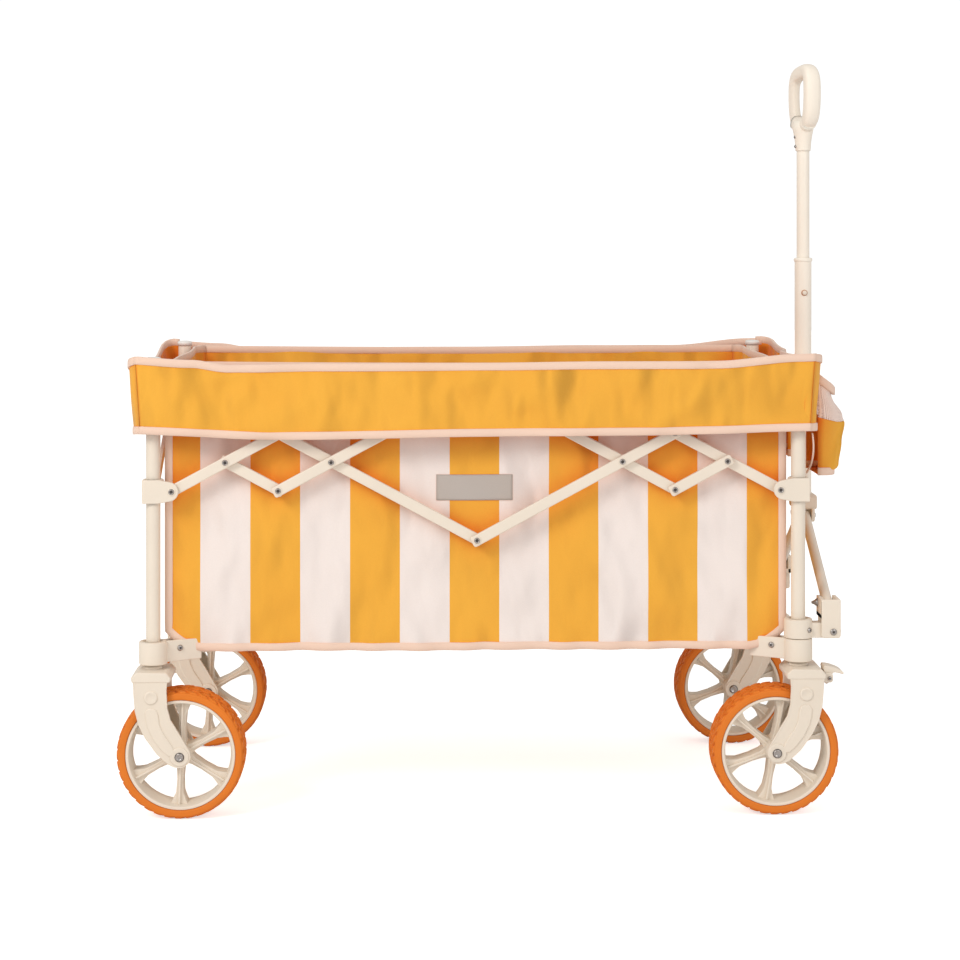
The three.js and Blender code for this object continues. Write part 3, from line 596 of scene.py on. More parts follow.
def clamp_ring(at, r_out, low, high):
    """Ring round a post with softened outer edges."""
    r_in, e = 0.0103, 0.0012
    return revolve("clamp", [
        (r_in, low), (r_out - e, low), (r_out, low + e), (r_out, high - e), (r_out - e, high), (r_in, high),
        (r_in, low)], at, "Z", PLASTIC)


def corner_brackets():
    for c in CORNERS:
        low, high = box(f"corner_bracket_{c}")
        at = Vector((POST[c].x, POST[c].y, 0))
        floor_top = low.z + 0.0315
        inward = Vector((CX - at.x, -at.y, 0)).normalized()
        across = Vector((0, 0, 1)).cross(inward)
        parts = [clamp_ring(at, 0.0198, low.z, floor_top)]
        outline = [(0, low.z + 0.002), (0.054, low.z + 0.003), (0.054, floor_top), (0, floor_top)]
        for flip in (-1, 1):
            frame_at = basis(at + inward * 0.014 + across * (flip * 0.0054), inward, (0, 0, 1))
            parts.append(prism("cheek", outline, frame_at, -0.004 * flip, PLASTIC, 0.001))
        if c.startswith("front"):
            parts.append(clamp_ring(at, 0.0198, floor_top + 0.0008, high.z))
            parts.append(handle_tongue(c))
        add(join(f"corner_clamp_{c}", parts), c, PL, f"corner_bracket_{c}")
        normal = across if across.y * at.y > 0 else -across
        spot = at + inward * 0.036 + Vector((0, 0, low.z + 0.0205)) + normal * 0.0096
        screw(f"corner_screw_{c}", spot, normal, c)


def handle_tongue(c):
    """Lug in front of a front post that the handle's yoke turns on."""
    right = POST[c].y < 0
    pivot = PIVOT["handle_tilt" if right else "handle_yoke_left_hinge"]
    x0, low, r = POST[c].x + 0.012, pivot.z - 0.0092, 0.0118
    outline = [(x0, low), (pivot.x, low)] + arc(pivot.x, pivot.z, r, -50, 10, 140) + [(x0, pivot.z + r)]
    return prism("tongue", outline, facing(1, 0, -0.2303 if right else 0.2097), 0.0206, PLASTIC, 0.001)


def scissor_brackets():
    for c in CORNERS:
        low, high = box(f"scissor_bracket_{c}")
        at = Vector((POST[c].x, POST[c].y, 0))
        side, end = (-1 if at.y < 0 else 1), (-1 if at.x < CX else 1)
        z, r = (low.z + high.z) / 2, (high.z - low.z) / 2
        face = Matrix.Translation((at.x, side * 0.2293, z)) @ Matrix(
            ((-end, 0, 0, 0), (0, 0, side, 0), (0, 1, 0, 0), (0, 0, 0, 1)))
        parts = [clamp_ring(at, 0.0148, low.z, high.z),
                 prism("ear", ear_outline(0.0225, r, 0.0145), face, 0.0057, PLASTIC, 0.0014)]
        if end < 0:
            rear = Matrix.Translation((CX - 0.4533, at.y, z)) @ Matrix(
                ((0, 0, -1, 0), (-side, 0, 0, 0), (0, 1, 0, 0), (0, 0, 0, 1)))
            parts.append(prism("rear_ear", ear_outline(0.031, r, 0.0145), rear, 0.0057, PLASTIC, 0.0014))
            rivet(f"rear_rivet_{c}", Vector((CX - 0.459, side * (HALF_Y - BAR_INSET), z)), (-1, 0, 0), c)
        add(join(f"scissor_clamp_{c}", parts), c, PL, f"scissor_bracket_{c}")
        rivet(f"bracket_rivet_{c}", Vector((at.x - end * 0.0265, side * 0.2350, z)), (0, side, 0), c)


def ear_outline(reach, r, back):
    """Clamp face with a rounded, slightly tapered ear that reaches towards +u."""
    nose = arc(reach, 0, r * 0.82, -90, 14, 180)[1:-1]
    return [(-back, -r), (reach * 0.35, -r)] + nose + [(reach * 0.35, r), (-back, r)]


# ---------------------------------------------------------------- bars
BAR_INSET = 0.035


def bar_ends(name):
    """The two end pivots of a side bar, from its node's box and slope."""
    low, high = box(name)
    r = 0.007
    rising = name.endswith(("rear_end_bar", "rear_rise_bar", "front_link_bar", "front_fall_bar"))
    a = Vector((low.x + r, 0, low.z + r)) if rising else Vector((low.x + r, 0, high.z - r))
    b = Vector((high.x - r, 0, high.z - r)) if rising else Vector((high.x - r, 0, low.z + r))
    return a, b, rising


def side_bars():
    short = PIVOT["right_rear_link_hinge"] - PIVOT["fold"]
    step = math.hypot(short.x, short.z)
    for side_name, side in SIDES.items():
        for end in ("rear", "front"):
            for kind in ("end", "link", "rise", "fall"):
                one_bar(f"{side_name}_{end}_{kind}_bar", side, step, kind)


def one_bar(node, side, step, kind):
    """One side bar; those of the outer layer carry the rivets."""
    a, b, outer = bar_ends(node)
    y = 0.2215 if outer else 0.2125
    start = Vector((a.x, side * y + (0.007 if side > 0 else 0), a.z))
    along, length = (b - a).normalized(), (b - a).length
    at = basis(start, along, Vector((-along.z, 0, along.x)))
    bar = prism(f"{node}_tube", stadium(length, 0.0077), at, 0.007, TUBE, 0.0019, segments=4)
    add(bar, node, ST, node)
    if not outer:
        return
    runs = {"end": (step, 2 * step), "rise": (0, step, length), "link": (0, length),
            "fall": (0, length - step, length)}[kind]
    pin = [(0, -0.017), (0.0029, -0.017), (0.0029, 0), (0.0045, 0.0001), (0.0045, 0.0008), (0.003, 0.0012),
           (0, 0.0012)]
    for i, run in enumerate(runs):
        spot = a + along * run
        rivet(f"{node}_rivet_{i + 1}", Vector((spot.x, side * 0.2285, spot.z)), (0, side, 0), node)
        back = Vector((spot.x, side * 0.2122, spot.z))
        add(revolve(f"{node}_back_{i + 1}", pin, back, (0, -side, 0), STEEL, 20), node, ST)


def rear_bars():
    foot_z, top_z = PIVOT["rear_end_right_hinge"].z, PIVOT["rear_end_top_hinge"].z
    for name, side, x in (("right", -1, -0.4525), ("left", 1, -0.445)):
        foot = Vector((0, side * (HALF_Y - BAR_INSET), foot_z))
        head = Vector((0, 0, top_z))
        along = (head - foot).normalized()
        at = basis(Vector((x + CX, foot.y, foot.z)), along, Vector((0, -along.z, along.y)))
        depth = math.copysign(0.006, at.col[2].x)
        bar = prism(f"rear_bar_{name}", stadium((head - foot).length, 0.007), at, depth, TUBE, 0.0017, segments=4)
        add(bar, f"rear_end_bar_{name}", ST, f"rear_end_bar_{name}")
    rivet("rear_top_rivet", Vector((-0.4525 + CX, 0, top_z)), (-1, 0, 0), "rear_end_bar_right")


def floor_bars():
    for c in CORNERS:
        inward = Vector((CX - POST[c].x, -POST[c].y, 0)).normalized()
        across = Vector((0, 0, 1)).cross(inward)
        at = basis(PIVOT[f"floor_{c}_hinge"] + across * 0.005, inward, (0, 0, 1))
        depth = math.copysign(0.010, -at.col[2].to_3d().dot(across))
        bar = prism(f"floor_rail_{c}", stadium(0.365, 0.008), at, depth, TUBE, 0.002, segments=4)
        add(bar, f"floor_bar_{c}", ST, f"floor_bar_{c}")
    low, high = (v.z for v in box("floor_hub"))
    parts = []
    for flip in (-1, 1):
        angle = flip * math.atan2(HALF_Y, HALF_X)
        d = Vector((math.cos(angle), math.sin(angle), 0))
        at = basis(Vector((CX, 0, low)) - d * 0.0745, d, Vector((0, 0, 1)).cross(d))
        outline = [(0, -0.0115), (0.149, -0.0115), (0.149, 0.0115), (0, 0.0115)]
        parts.append(prism("arm", outline, at, high - low, PLASTIC, 0.002))
    parts.append(revolve("disc", [
        (0, low), (0.034, low), (0.036, low + 0.002), (0.036, high - 0.002), (0.034, high), (0, high)],
        Vector((CX, 0, 0)), "Z", PLASTIC))
    add(join("floor_cross", parts), "floor_hub", PL, "floor_hub")


# ---------------------------------------------------------------- handle
def yokes():
    """Folded brackets at the foot of the handle, each with its screw, hinge pin and clamp screw."""
    for name, side in SIDES.items():
        low, high = (v.z for v in box(f"handle_yoke_{name}"))
        x0, x1 = MAST.x - 0.0135, MAST.x + 0.0135
        floor_low, floor_top = 0.270, 0.277
        web = facing(side, 0, side * 0.192)
        parts = [
            prism("face", rounded_rect(x0, x1, low, high, 0.004), facing(side, 0, side * 0.231), 0.005, PLASTIC, 0.0016),
            prism("inner", rounded_rect(x0, x1, low, floor_top, 0.003), facing(side, 0, side * 0.204), 0.005, PLASTIC),
            prism("web", rounded_rect(x0, x1, floor_low, floor_top, 0.001), web, 0.043, PLASTIC, 0.0006)]
        for a, b in ((x0, x0 + 0.005), (x1 - 0.005, x1)):
            parts.append(prism("cheek", rounded_rect(a, b, floor_low, high, 0.001), web, 0.043, PLASTIC, 0.0009))
        body = f"handle_yoke_{name}"
        add(join(f"yoke_{name}", parts), body, PL, body)
        pivot = PIVOT["handle_tilt" if side < 0 else "handle_yoke_left_hinge"]
        screw(f"yoke_screw_{name}", Vector((pivot.x, side * 0.236, pivot.z)), (0, side, 0), body, 0.0048)
        hinge = PIVOT["handle_tube_right_hinge"]
        pin = [(0, -0.031), (0.003, -0.031), (0.003, -0.001), (0.0062, -0.0005), (0.0055, 0.002), (0.003, 0.005),
               (0.0018, 0.0085), (0, 0.009)]
        place = Vector((x0, side * abs(hinge.y), hinge.z))
        add(revolve(f"yoke_pin_{name}", pin, place, (-1, 0, 0), STEEL, 24), body, ST)
        post = f"front_{name}"
        screw(f"clamp_screw_{name}", Vector((POST[post].x + 0.0135, side * 0.2349, 0.2555)),
              Vector((0.72, side * 0.7, 0)), post, 0.0036)


def frame_tubes():
    """A-frame tubes with domed ends, from the yokes to the mast's bracket."""
    low, high = PIVOT["handle_tube_right_hinge"], PIVOT["handle_mast_hinge"]
    for name, side in SIDES.items():
        foot = Vector((MAST.x, side * abs(low.y), low.z))
        top = Vector((MAST.x, side * abs(high.y), high.z))
        length = (top - foot).length
        dome = [(x, -y) for x, y in arc(0, 0, 0.0075, 90, 6, -90)]
        profile = [(max(0, x), z) for x, z in dome] + [(max(0, x), length - z) for x, z in reversed(dome)]
        profile[0], profile[-1] = (0, profile[0][1]), (0, profile[-1][1])
        tube = revolve(f"a_frame_{name}", profile, foot, top - foot, TUBE, 32)
        add(tube, f"handle_frame_tube_{name}", ST, f"handle_frame_tube_{name}")


def top_bracket():
    low, high = (v.z for v in box("handle_top_bracket"))
    x = MAST.x
    block = rounded_rect(-0.028, 0.028, 0.3975, high, 0.006)
    parts = [prism("block", block, across_x(x - 0.017), 0.034, PLASTIC, 0.003)]
    for start in (x - 0.0133, x + 0.0083):
        cheek = rounded_rect(-0.028, 0.028, low, 0.401, 0.006)
        parts.append(prism("cheek", cheek, across_x(start), 0.005, PLASTIC, 0.0012))
    add(join("mast_bracket", parts), "handle_mast", PL, "handle_top_bracket")
    hinge = PIVOT["handle_mast_hinge"]
    for name, side in SIDES.items():
        for end, tag in ((-1, "rear"), (1, "front")):
            spot = Vector((x + end * 0.0133, side * abs(hinge.y), hinge.z))
            rivet(f"mast_rivet_{name}_{tag}", spot, (end, 0, 0), "handle_mast")


def mast():
    low, top = (v.z for v in box("handle_outer_tube"))
    at = Vector((MAST.x, 0, 0))
    outer = revolve("mast_outer", [
        (0.0102, low), (0.0125, low), (0.0125, top - 0.0058), (0.0133, top - 0.0052), (0.0138, top - 0.0042),
        (0.0138, top - 0.0016), (0.0132, top - 0.0004), (0.0118, top), (0.0102, top), (0.0102, low)],
        at, "Z", MAST_PAINT_LIGHTENED, 56)
    add(outer, "handle_mast", ST, "handle_outer_tube")
    low, high = (v.z for v in box("handle_inner_tube"))
    wall = [(0.0078, low), (0.0095, low), (0.0095, high), (0.0078, high), (0.0078, low)]
    add(revolve("mast_inner", wall, at, "Z", MAST_PAINT_LIGHTENED, 48), "handle_rod", ST, "handle_inner_tube")
    place = Vector((MAST.x, 0, middle("handle_snap_button").z))
    stem = [(0, 0.0119), (0.0026, 0.0119), (0.0026, 0.0146), (0.0034, 0.0147), (0.0032, 0.0158), (0.0024, 0.0167),
            (0, 0.0168)]
    # Painted shade: a brownish ring round the snap button stands for the shade in the hole it sits in.
    recess = [(0, 0.0112), (0.0047, 0.0112), (0.0047, 0.0128), (0, 0.0129)]
    parts = [revolve("stem", stem, place, (0, -1, 0), PLASTIC, 28), revolve("well", recess, place, (0, -1, 0), BUTTON_PAINTED_SHADE, 28)]
    add(join("snap_button", parts), "handle_button", PL, "handle_snap_button")


def grip():
    """D-shaped pull grip: a loop on a neck that the inner tube goes into."""
    low, high = (v.z for v in box("handle_grip"))
    yaw = math.radians(17)
    out = Vector((-math.sin(yaw), math.cos(yaw), 0))
    centre = Vector((MAST.x, 0, 0))
    z0, z1, half = low + 0.039, high - 0.0125, 0.0300

    def squared(v, power):
        return math.copysign(abs(v) ** power, v)

    def loop(t):
        """Centre line of the loop, flatter at the top, narrower at the foot."""
        across = squared(math.cos(TAU * t), 0.55) * half
        up = squared(math.sin(TAU * t), 0.55)
        lean = 1 - 0.12 * max(0, -up)
        slope = -0.16 * across * max(0, up)
        return centre + out * (across * lean) + Vector((0, 0, (z0 + z1) / 2 + up * (z1 - z0) / 2 + slope))

    def bulk(k):
        """Thicker on the near limb than on the far one."""
        return 0.95, 0.90 - 0.26 * math.cos(TAU * k)

    turns = [TAU * i / 24 for i in range(24)]
    section = [(0.0108 * squared(math.cos(a), 0.75), 0.0108 * squared(math.sin(a), 0.75)) for a in turns]
    normal = tuple(out.cross(Vector((0, 0, 1))))
    path = [loop(i / 72) for i in range(72)]
    foot = [loop(0.5 + 0.5 * t) for t in (0.3, 0.4, 0.5, 0.6, 0.7)]
    neck = [
        (0.0098, low), (0.0112, low), (0.0114, low + 0.002), (0.0122, low + 0.014), (0.0142, low + 0.026),
        (0.0155, low + 0.032), (0.015, low + 0.044), (0, low + 0.047), (0, low + 0.021), (0.0098, low + 0.021),
        (0.0098, low)]
    parts = [sweep("loop", path, section, GRIP_PLASTIC, closed=True, up=normal, scale=bulk),
             revolve("neck", neck, centre, "Z", GRIP_PLASTIC, 48),
             sweep("web", foot, [(x * 1.05, y * 1.0) for x, y in section], GRIP_PLASTIC, up=normal)]
    add(join("pull_grip", parts), "handle_rod", PL, "handle_grip")
    facing_rear = Vector((-1, -0.25, 0)).normalized()
    for i, dz in enumerate((0.0065, 0.0205)):
        spot = centre + facing_rear * (0.0113 + 0.05 * dz) + Vector((0, 0, low + dz))
        screw(f"grip_screw_{i + 1}", spot, facing_rear, "handle_rod", 0.0024)


# ---------------------------------------------------------------- wheels
BLADE = (
    (-30, 197), (-28.5, 189), (-27.7, 172), (-26, 153), (-21, 133), (-12, 115), (4, 93), (20, 78.5), (27, 75),
    (35, 73.5), (42, 75), (48, 80), (51, 89), (49.5, 96), (45.5, 103), (33.5, 123), (23, 140), (18.7, 156),
    (17.5, 180), (19, 197))
RIDGE = (
    (-12, 150), (-9, 155), (-3, 157), (4, 154), (6.5, 147), (8, 134), (14, 121), (25, 105), (29, 96), (27, 90),
    (20, 90), (11, 98), (0, 112), (-8, 128), (-11, 140))


def forks():
    """Forks: two blades that trail from the crown to the axle, each with a raised ridge, boss and axle eye."""
    for c in CORNERS:
        at, axle = POST[c], AXLE[c]
        trail = 1 if axle.x > at.x else -1
        shift = 0.0045 if c.startswith("rear") else -0.002
        blade, ridge = ([(trail * (u * MM + shift), z * MM) for u, z in shape] for shape in (BLADE, RIDGE))
        parts = []
        for flip in (-1, 1):
            face, outside = at.y + flip * 0.031, at.y + flip * 0.0342
            parts.append(prism("blade", blade, facing(flip, at.x, face), 0.0062, PLASTIC, 0.0014, (0.0035, 0.0013)))
            parts.append(prism("ridge", ridge, facing(flip, at.x, outside), 0.0036, PLASTIC, 0.0016))
            boss = [(0, 0), (0.0098, 0), (0.0092, 0.0029), (0.0072, 0.0034), (0.0055, 0.0022), (0, 0.002)]
            boss_at = Vector((at.x - trail * (0.004 - shift), outside, 0.1705))
            parts.append(revolve("boss", boss, boss_at, (0, flip, 0), PLASTIC, 32))
            eye = [(0, 0), (0.0135, 0), (0.013, 0.0030), (0.0115, 0.0034), (0, 0.0034)]
            eye_at = Vector((axle.x, axle.y + flip * 0.0342, axle.z))
            parts.append(revolve("eye", eye, eye_at, (0, flip, 0), PLASTIC, 36))
        a, b = sorted((-trail * (0.0315 - shift), trail * (0.0235 + shift)))
        crown = [(a + 0.001, 0.191), (b - 0.001, 0.191), (b, 0.1975), (b - 0.006, 0.2045), (a + 0.008, 0.2055),
                 (a, 0.1985)]
        parts.append(prism("crown", crown, facing(1, at.x, at.y - 0.0372), 0.0744, PLASTIC, 0.0022))
        neck = [(0, 0.204), (0.0145, 0.204), (0.0125, 0.2075), (0.012, 0.2102), (0, 0.2102)]
        parts.append(revolve("neck", neck, Vector((at.x, at.y, 0)), "Z", PLASTIC, 40))
        if c.startswith("front"):
            lug = rounded_rect(0.030, 0.046, 0.183, 0.196, 0.004)
            parts += [prism("lug", lug, facing(flip, at.x, at.y + flip * 0.015), 0.004, PLASTIC, 0.0008)
                      for flip in (-1, 1)]
        body = body_of_corner(c, "fork")
        add(join(f"fork_frame_{c}", parts), body, PL, f"fork_{c}")
        for flip, tag in ((-1, "near"), (1, "far")):
            axle_bolt(f"axle_bolt_{c}_{tag}", axle, flip, body)


def axle_bolt(name, axle, flip, body):
    spot = Vector((axle.x, axle.y + flip * 0.0375, axle.z))
    head = [(0, -0.001), (0.0068, -0.001), (0.0066, 0.0006), (0.0055, 0.001), (0.0055, 0.0021), (0.0042, 0.0026),
            (0.0032, 0.0014), (0, 0.0013)]
    # Painted shade: a near-black ring on the bolt head, round its raised centre.
    gap = [(0.0045, 0.0008), (0.0062, 0.0008), (0.0062, 0.00118), (0.0045, 0.00118), (0.0045, 0.0008)]
    parts = [revolve("head", head, spot, (0, flip, 0), STEEL, 36), revolve("gap", gap, spot, (0, flip, 0), PAINTED_RECESS_SHADE, 36)]
    add(join(name, parts), body, ST)


def pedals():
    """Brake pedals: bent leaves in front of the front forks."""
    leaf = [(u * MM, z * MM) for u, z in (
        (33.6, 202.5), (34.6, 205.6), (40, 205.2), (46, 204), (53, 201.5), (59, 198.6), (62.3, 195.2), (61, 193.3),
        (55, 195), (49, 196.2), (46.4, 195), (45, 189), (42, 182.5), (38, 179.8), (35.2, 181.5), (35.4, 191))]
    for name in SIDES:
        at = POST[f"front_{name}"]
        piece = prism(f"brake_leaf_{name}", leaf, facing(1, at.x, at.y - 0.014), 0.028, PLASTIC, 0.0011)
        add(piece, f"brake_pedal_{name}", PL, f"brake_pedal_{name}")
        for flip, tag in ((-1, "near"), (1, "far")):
            spot = Vector((at.x + 0.041, at.y + flip * 0.0192, 0.189))
            screw(f"brake_screw_{name}_{tag}", spot, (0, flip, 0), f"caster_front_{name}", 0.0028)


def mirrored(half):
    """Closed outline from its upper half, mirrored in the first axis."""
    return [(x, -y) for x, y in half] + list(reversed(half))


SPOKE = mirrored([(0.011, 0.0075), (0.020, 0.0052), (0.036, 0.0042), (0.054, 0.0052), (0.063, 0.0085), (0.0705, 0.0125)])
RIB = mirrored([(0.010, 0.0013), (0.0700, 0.0013)])


def rims():
    e = 0.0245
    barrel = [
        (0.0757, -e), (0.0757, e), (0.0752, e + 0.0008), (0.0722, e + 0.0008), (0.0714, e), (0.0706, e - 0.003),
        (0.0680, 0.004), (0.0680, -0.004), (0.0706, -e + 0.003), (0.0714, -e), (0.0722, -e - 0.0008),
        (0.0752, -e - 0.0008), (0.0757, -e)]
    hub = [
        (0.0046, -0.0295), (0.0125, -0.0295), (0.0135, -0.0275), (0.0145, -0.018), (0.0145, 0.018),
        (0.0135, 0.0275), (0.0125, 0.0295), (0.0046, 0.0295), (0.0046, -0.0295)]
    for c in CORNERS:
        axle = AXLE[c]
        parts = [revolve("barrel", barrel, axle, "Y", PLASTIC, 112), revolve("hub", hub, axle, "Y", PLASTIC, 48)]
        first = math.radians(28 if c.startswith("rear") else 20)
        for i in range(6):
            a = first + TAU * i / 6
            at = basis(axle, Vector((math.cos(a), 0, math.sin(a))), Vector((-math.sin(a), 0, math.cos(a))))
            for shape, half, edge in ((SPOKE, 0.0135, 0.0012), (RIB, 0.018, 0.0006)):
                parts.append(prism("spoke", shape, at @ Matrix.Translation((0, 0, -half)), 2 * half, PLASTIC, edge))
        add(join(f"wheel_rim_{c}", parts), f"wheel_{c}", PL, f"rim_{c}")


def tread(axle, bm):
    """Four rows of slanted blocks round the tyre, the rows out of step with each other."""
    count = 36
    rows = ((-0.0205, 0.0085, 0.45, 0.0), (-0.0075, 0.0080, -0.5, 0.5), (0.0075, 0.0080, 0.5, 0.0),
            (0.0205, 0.0085, -0.45, 0.5))
    step = TAU / count
    for y, width, slant, phase in rows:
        for i in range(count):
            a = (i + phase) * step
            verts = []
            for r, grow in ((WHEEL_R - 0.0042, 1.0), (WHEEL_R - 0.0004, 0.74)):
                for du, dv in ((-1, -1), (1, -1), (1, 1), (-1, 1)):
                    across = y + dv * width * 0.6 * grow
                    angle = a + (du * 0.37 * grow + slant * dv * 0.5) * step
                    rr = r if abs(across) < 0.0215 else r - 0.0009
                    offset = Vector((rr * math.cos(angle), across, rr * math.sin(angle)))
                    verts.append(bm.verts.new(axle + offset))
            for f in ((0, 1, 2, 3), (4, 5, 6, 7), (0, 1, 5, 4), (1, 2, 6, 5), (2, 3, 7, 6), (3, 0, 4, 7)):
                bm.faces.new([verts[k] for k in f])


def tyres():
    r = WHEEL_R
    half = [(0.0760, 0.0250), (0.0765, 0.0262), (0.0780, 0.0270), (0.0835, 0.0272), (0.0850, 0.0265), (0.0862, 0.0245),
            (r - 0.0034, 0.021), (r - 0.0029, 0.012)]
    carcass = mirrored(half) + [(0.0760, -0.0250)]
    for c in CORNERS:
        ring_piece = revolve("carcass", carcass, AXLE[c], "Y", RUBBER, 128)
        bm = bmesh.new()
        tread(AXLE[c], bm)
        blocks = bevel(finish_mesh("blocks", bm, [RUBBER]), 0.0007, 2, 30)
        add(join(f"tyre_tread_{c}", [ring_piece, blocks]), f"wheel_{c}", "tyre", f"tyre_{c}")


# ---------------------------------------------------------------- cloth
def between(table, x):
    """Smooth value from a short list of (place, value)."""
    if x <= table[0][0]:
        return table[0][1]
    for (x0, v0), (x1, v1) in zip(table, table[1:]):
        if x <= x1:
            t = (x - x0) / (x1 - x0)
            t = t * t * (3 - 2 * t)
            return v0 + (v1 - v0) * t
    return table[-1][1]


def sheet_mesh(name, surface, across, up, nu, nv, thick, outside, inside, keep=None):
    """Two-layered cloth over a grid. surface(s, t) gives a point, s and t in metres along the cloth; outward is s x t."""
    bm = bmesh.new()
    layer = bm.loops.layers.uv.new("UVMap")
    (s0, s1), (t0, t1) = across, up
    grid, back, place = [], [], []
    eps = 1e-4
    for j in range(nv + 1):
        row, rear, spots = [], [], []
        for i in range(nu + 1):
            s, t = s0 + (s1 - s0) * i / nu, t0 + (t1 - t0) * j / nv
            p = surface(s, t)
            du = surface(s + eps, t) - surface(s - eps, t)
            dv = surface(s, t + eps) - surface(s, t - eps)
            n = du.cross(dv).normalized()
            row.append(bm.verts.new(p))
            rear.append(bm.verts.new(p - n * thick))
            spots.append((s, t))
        grid.append(row)
        back.append(rear)
        place.append(spots)

    def face(corners, uvs, index):
        f = bm.faces.new(corners)
        f.material_index = index
        for loop, uv in zip(f.loops, uvs):
            loop[layer].uv = uv

    inside_cell = keep or (lambda s, t: True)
    cells = set()
    for j in range(nv):
        for i in range(nu):
            s = (place[j][i][0] + place[j][i + 1][0]) / 2
            t = (place[j][i][1] + place[j + 1][i][1]) / 2
            if inside_cell(s, t):
                cells.add((i, j))
    for i, j in sorted(cells):
        ids = ((j, i), (j, i + 1), (j + 1, i + 1), (j + 1, i))
        uvs = [place[a][b] for a, b in ids]
        face([grid[a][b] for a, b in ids], uvs, 0)
        face([back[a][b] for a, b in reversed(ids)], list(reversed(uvs)), 1)
        for (di, dj), (p, q) in (((0, -1), (0, 1)), ((1, 0), (1, 2)), ((0, 1), (2, 3)), ((-1, 0), (3, 0))):
            if (i + di, j + dj) not in cells:
                (a, b), (c, d) = ids[p], ids[q]
                face([grid[c][d], grid[a][b], back[a][b], back[c][d]],
                     [place[c][d], place[a][b], place[a][b], place[c][d]], 0)
    for vert in [v for v in bm.verts if not v.link_faces]:
        bm.verts.remove(vert)
    return finish_mesh(name, bm, [outside, inside])


BAND = [(x * MM, y * MM) for x, y in (
    (-1.9, -5.0), (-1.2, -5.5), (1.2, -5.5), (1.9, -5.0), (2.1, 0), (1.9, 5.0), (1.2, 5.5), (-1.2, 5.5), (-1.9, 5.0), (-2.1, 0))]


def tape(name, path, up=(0, 0, 1)):
    """Folded peach binding along a path, upright along `up`."""
    return sweep(name, path, BAND, PEACH, up=up, uv=True)


def ripple(s, t, size, seed):
    """Soft random dents, 0 centred, as tall as size."""
    return size * noise.noise(Vector((s, t, seed)))


TOP_Z = TUB_HIGH.z - 0.002
HEM_Z = TUB_LOW.z + 0.003
WALL_HALF = (TUB_HIGH.x - TUB_LOW.x) / 2
WALL_Y = TUB_HIGH.y


def wall_top(x):
    """Height of a long wall's upper edge: a little lower in the middle."""
    return TOP_Z - 0.003 * (1 - (abs(x) / WALL_HALF) ** 2)


def wall_foot(x):
    """Height of a long wall's lower edge, which rises in a curve at each corner."""
    rise = max(0.0, (abs(x) - (WALL_HALF - 0.055)) / 0.055)
    return HEM_Z + 0.030 * rise ** 2.2


def long_wall_dent(x, z, side):
    """How far a long wall dips inward. It stays flat behind the bars and puckers above the hem."""
    seed = 3.1 if side < 0 else 9.4
    soft = ripple(x * 7, z * 6, 0.006, seed) + ripple(x * 17, z * 9, 0.0022, seed + 5)
    low = max(0.0, 1 - (z - HEM_Z) / 0.06)
    pucker = 0.0035 * low * low * math.sin(x * 95 + 2.4 * noise.noise(Vector((x * 14, 0, seed))))
    diagonal = 0.004 * noise.noise(Vector((x * 9 + z * 9, x * 3 - z * 4, seed + 2)))
    edge = min(1.0, (WALL_HALF - abs(x)) / 0.05) * min(1.0, max(0.0, (TOP_Z + 0.004 - z)) / 0.03)
    free = (soft + diagonal) * edge + pucker
    return free + 0.004 * edge


def long_wall(side):
    name = "near" if side < 0 else "far"

    def surface(s, t):
        x = -side * -1 * s if side < 0 else -s
        x = s if side < 0 else -s
        low, high = wall_foot(x), wall_top(x)
        k = (t - HEM_Z) / (TOP_Z - HEM_Z)
        z = low + (high - low) * k
        y = side * (WALL_Y - long_wall_dent(x, z, side))
        return Vector((CX + x, y, z))

    edge = WALL_HALF - 0.004
    piece = sheet_mesh(f"cloth_wall_{name}", surface, (-edge, edge), (HEM_Z, TOP_Z), 150, 66, 0.0016, STRIPED, AMBER)
    offset_uv(piece, STRIPE * 0.5 + 0.003)
    body, nodes = ("rear_right", ("cloth_tub",)) if side < 0 else ("rear_left", ())
    add(piece, body, "striped_cloth", *nodes)
    n = 96
    xs = [-edge + 2 * edge * i / n for i in range(n + 1)]
    at = lambda x, t: surface(x if side < 0 else -x, t)
    rim = tape(f"wall_rim_{name}", [at(x, TOP_Z) - Vector((0, side * 0.0008, 0.0030)) for x in xs])
    hem_path = [at(-edge, TOP_Z - 0.01 - (TOP_Z - HEM_Z - 0.012) * i / 34) for i in range(35)]
    hem_path += [at(x, HEM_Z + 0.002) for x in xs]
    hem_path += [at(edge, HEM_Z + 0.002 + (TOP_Z - HEM_Z - 0.012) * i / 34) for i in range(35)]
    hem = edge_tape(f"wall_hem_{name}", [p - Vector((0, side * 0.0008, 0)) for p in hem_path], side)
    for trim in (rim, hem):
        add(trim, body, "striped_cloth")
    for obj in (piece, rim, hem):
        squash(obj, "x", WALL_HALF)
    inset = 0.010
    seams = [seam(f"wall_seam_{name}_{i + 1}", [at(x, HEM_Z + 0.02 + (TOP_Z - HEM_Z - 0.028) * k / 20) -
                  Vector((0, side * 0.0018, 0)) for k in range(21)], body, WALL_HALF, (0, -side, 0))
             for i, x in enumerate((inset - edge, edge - inset))]
    return piece, [rim, hem] + seams


def edge_tape(name, path, side):
    """Binding along a path that turns round corners in the wall's own plane."""
    clean = [path[0]]
    for p in path[1:]:
        if (p - clean[-1]).length > 0.004:
            clean.append(p)
    n = len(clean)

    def inward(k):
        i = round(k * (n - 1))
        a, b = clean[max(0, i - 1)], clean[min(n - 1, i + 1)]
        along = (b - a).normalized()
        return tuple(along.cross(Vector((0, 1, 0))).normalized())

    return sweep(name, clean, BAND, PEACH, up=inward, uv=True)


def offset_uv(obj, shift):
    for uv in obj.data.uv_layers[0].data:
        uv.uv[0] += shift


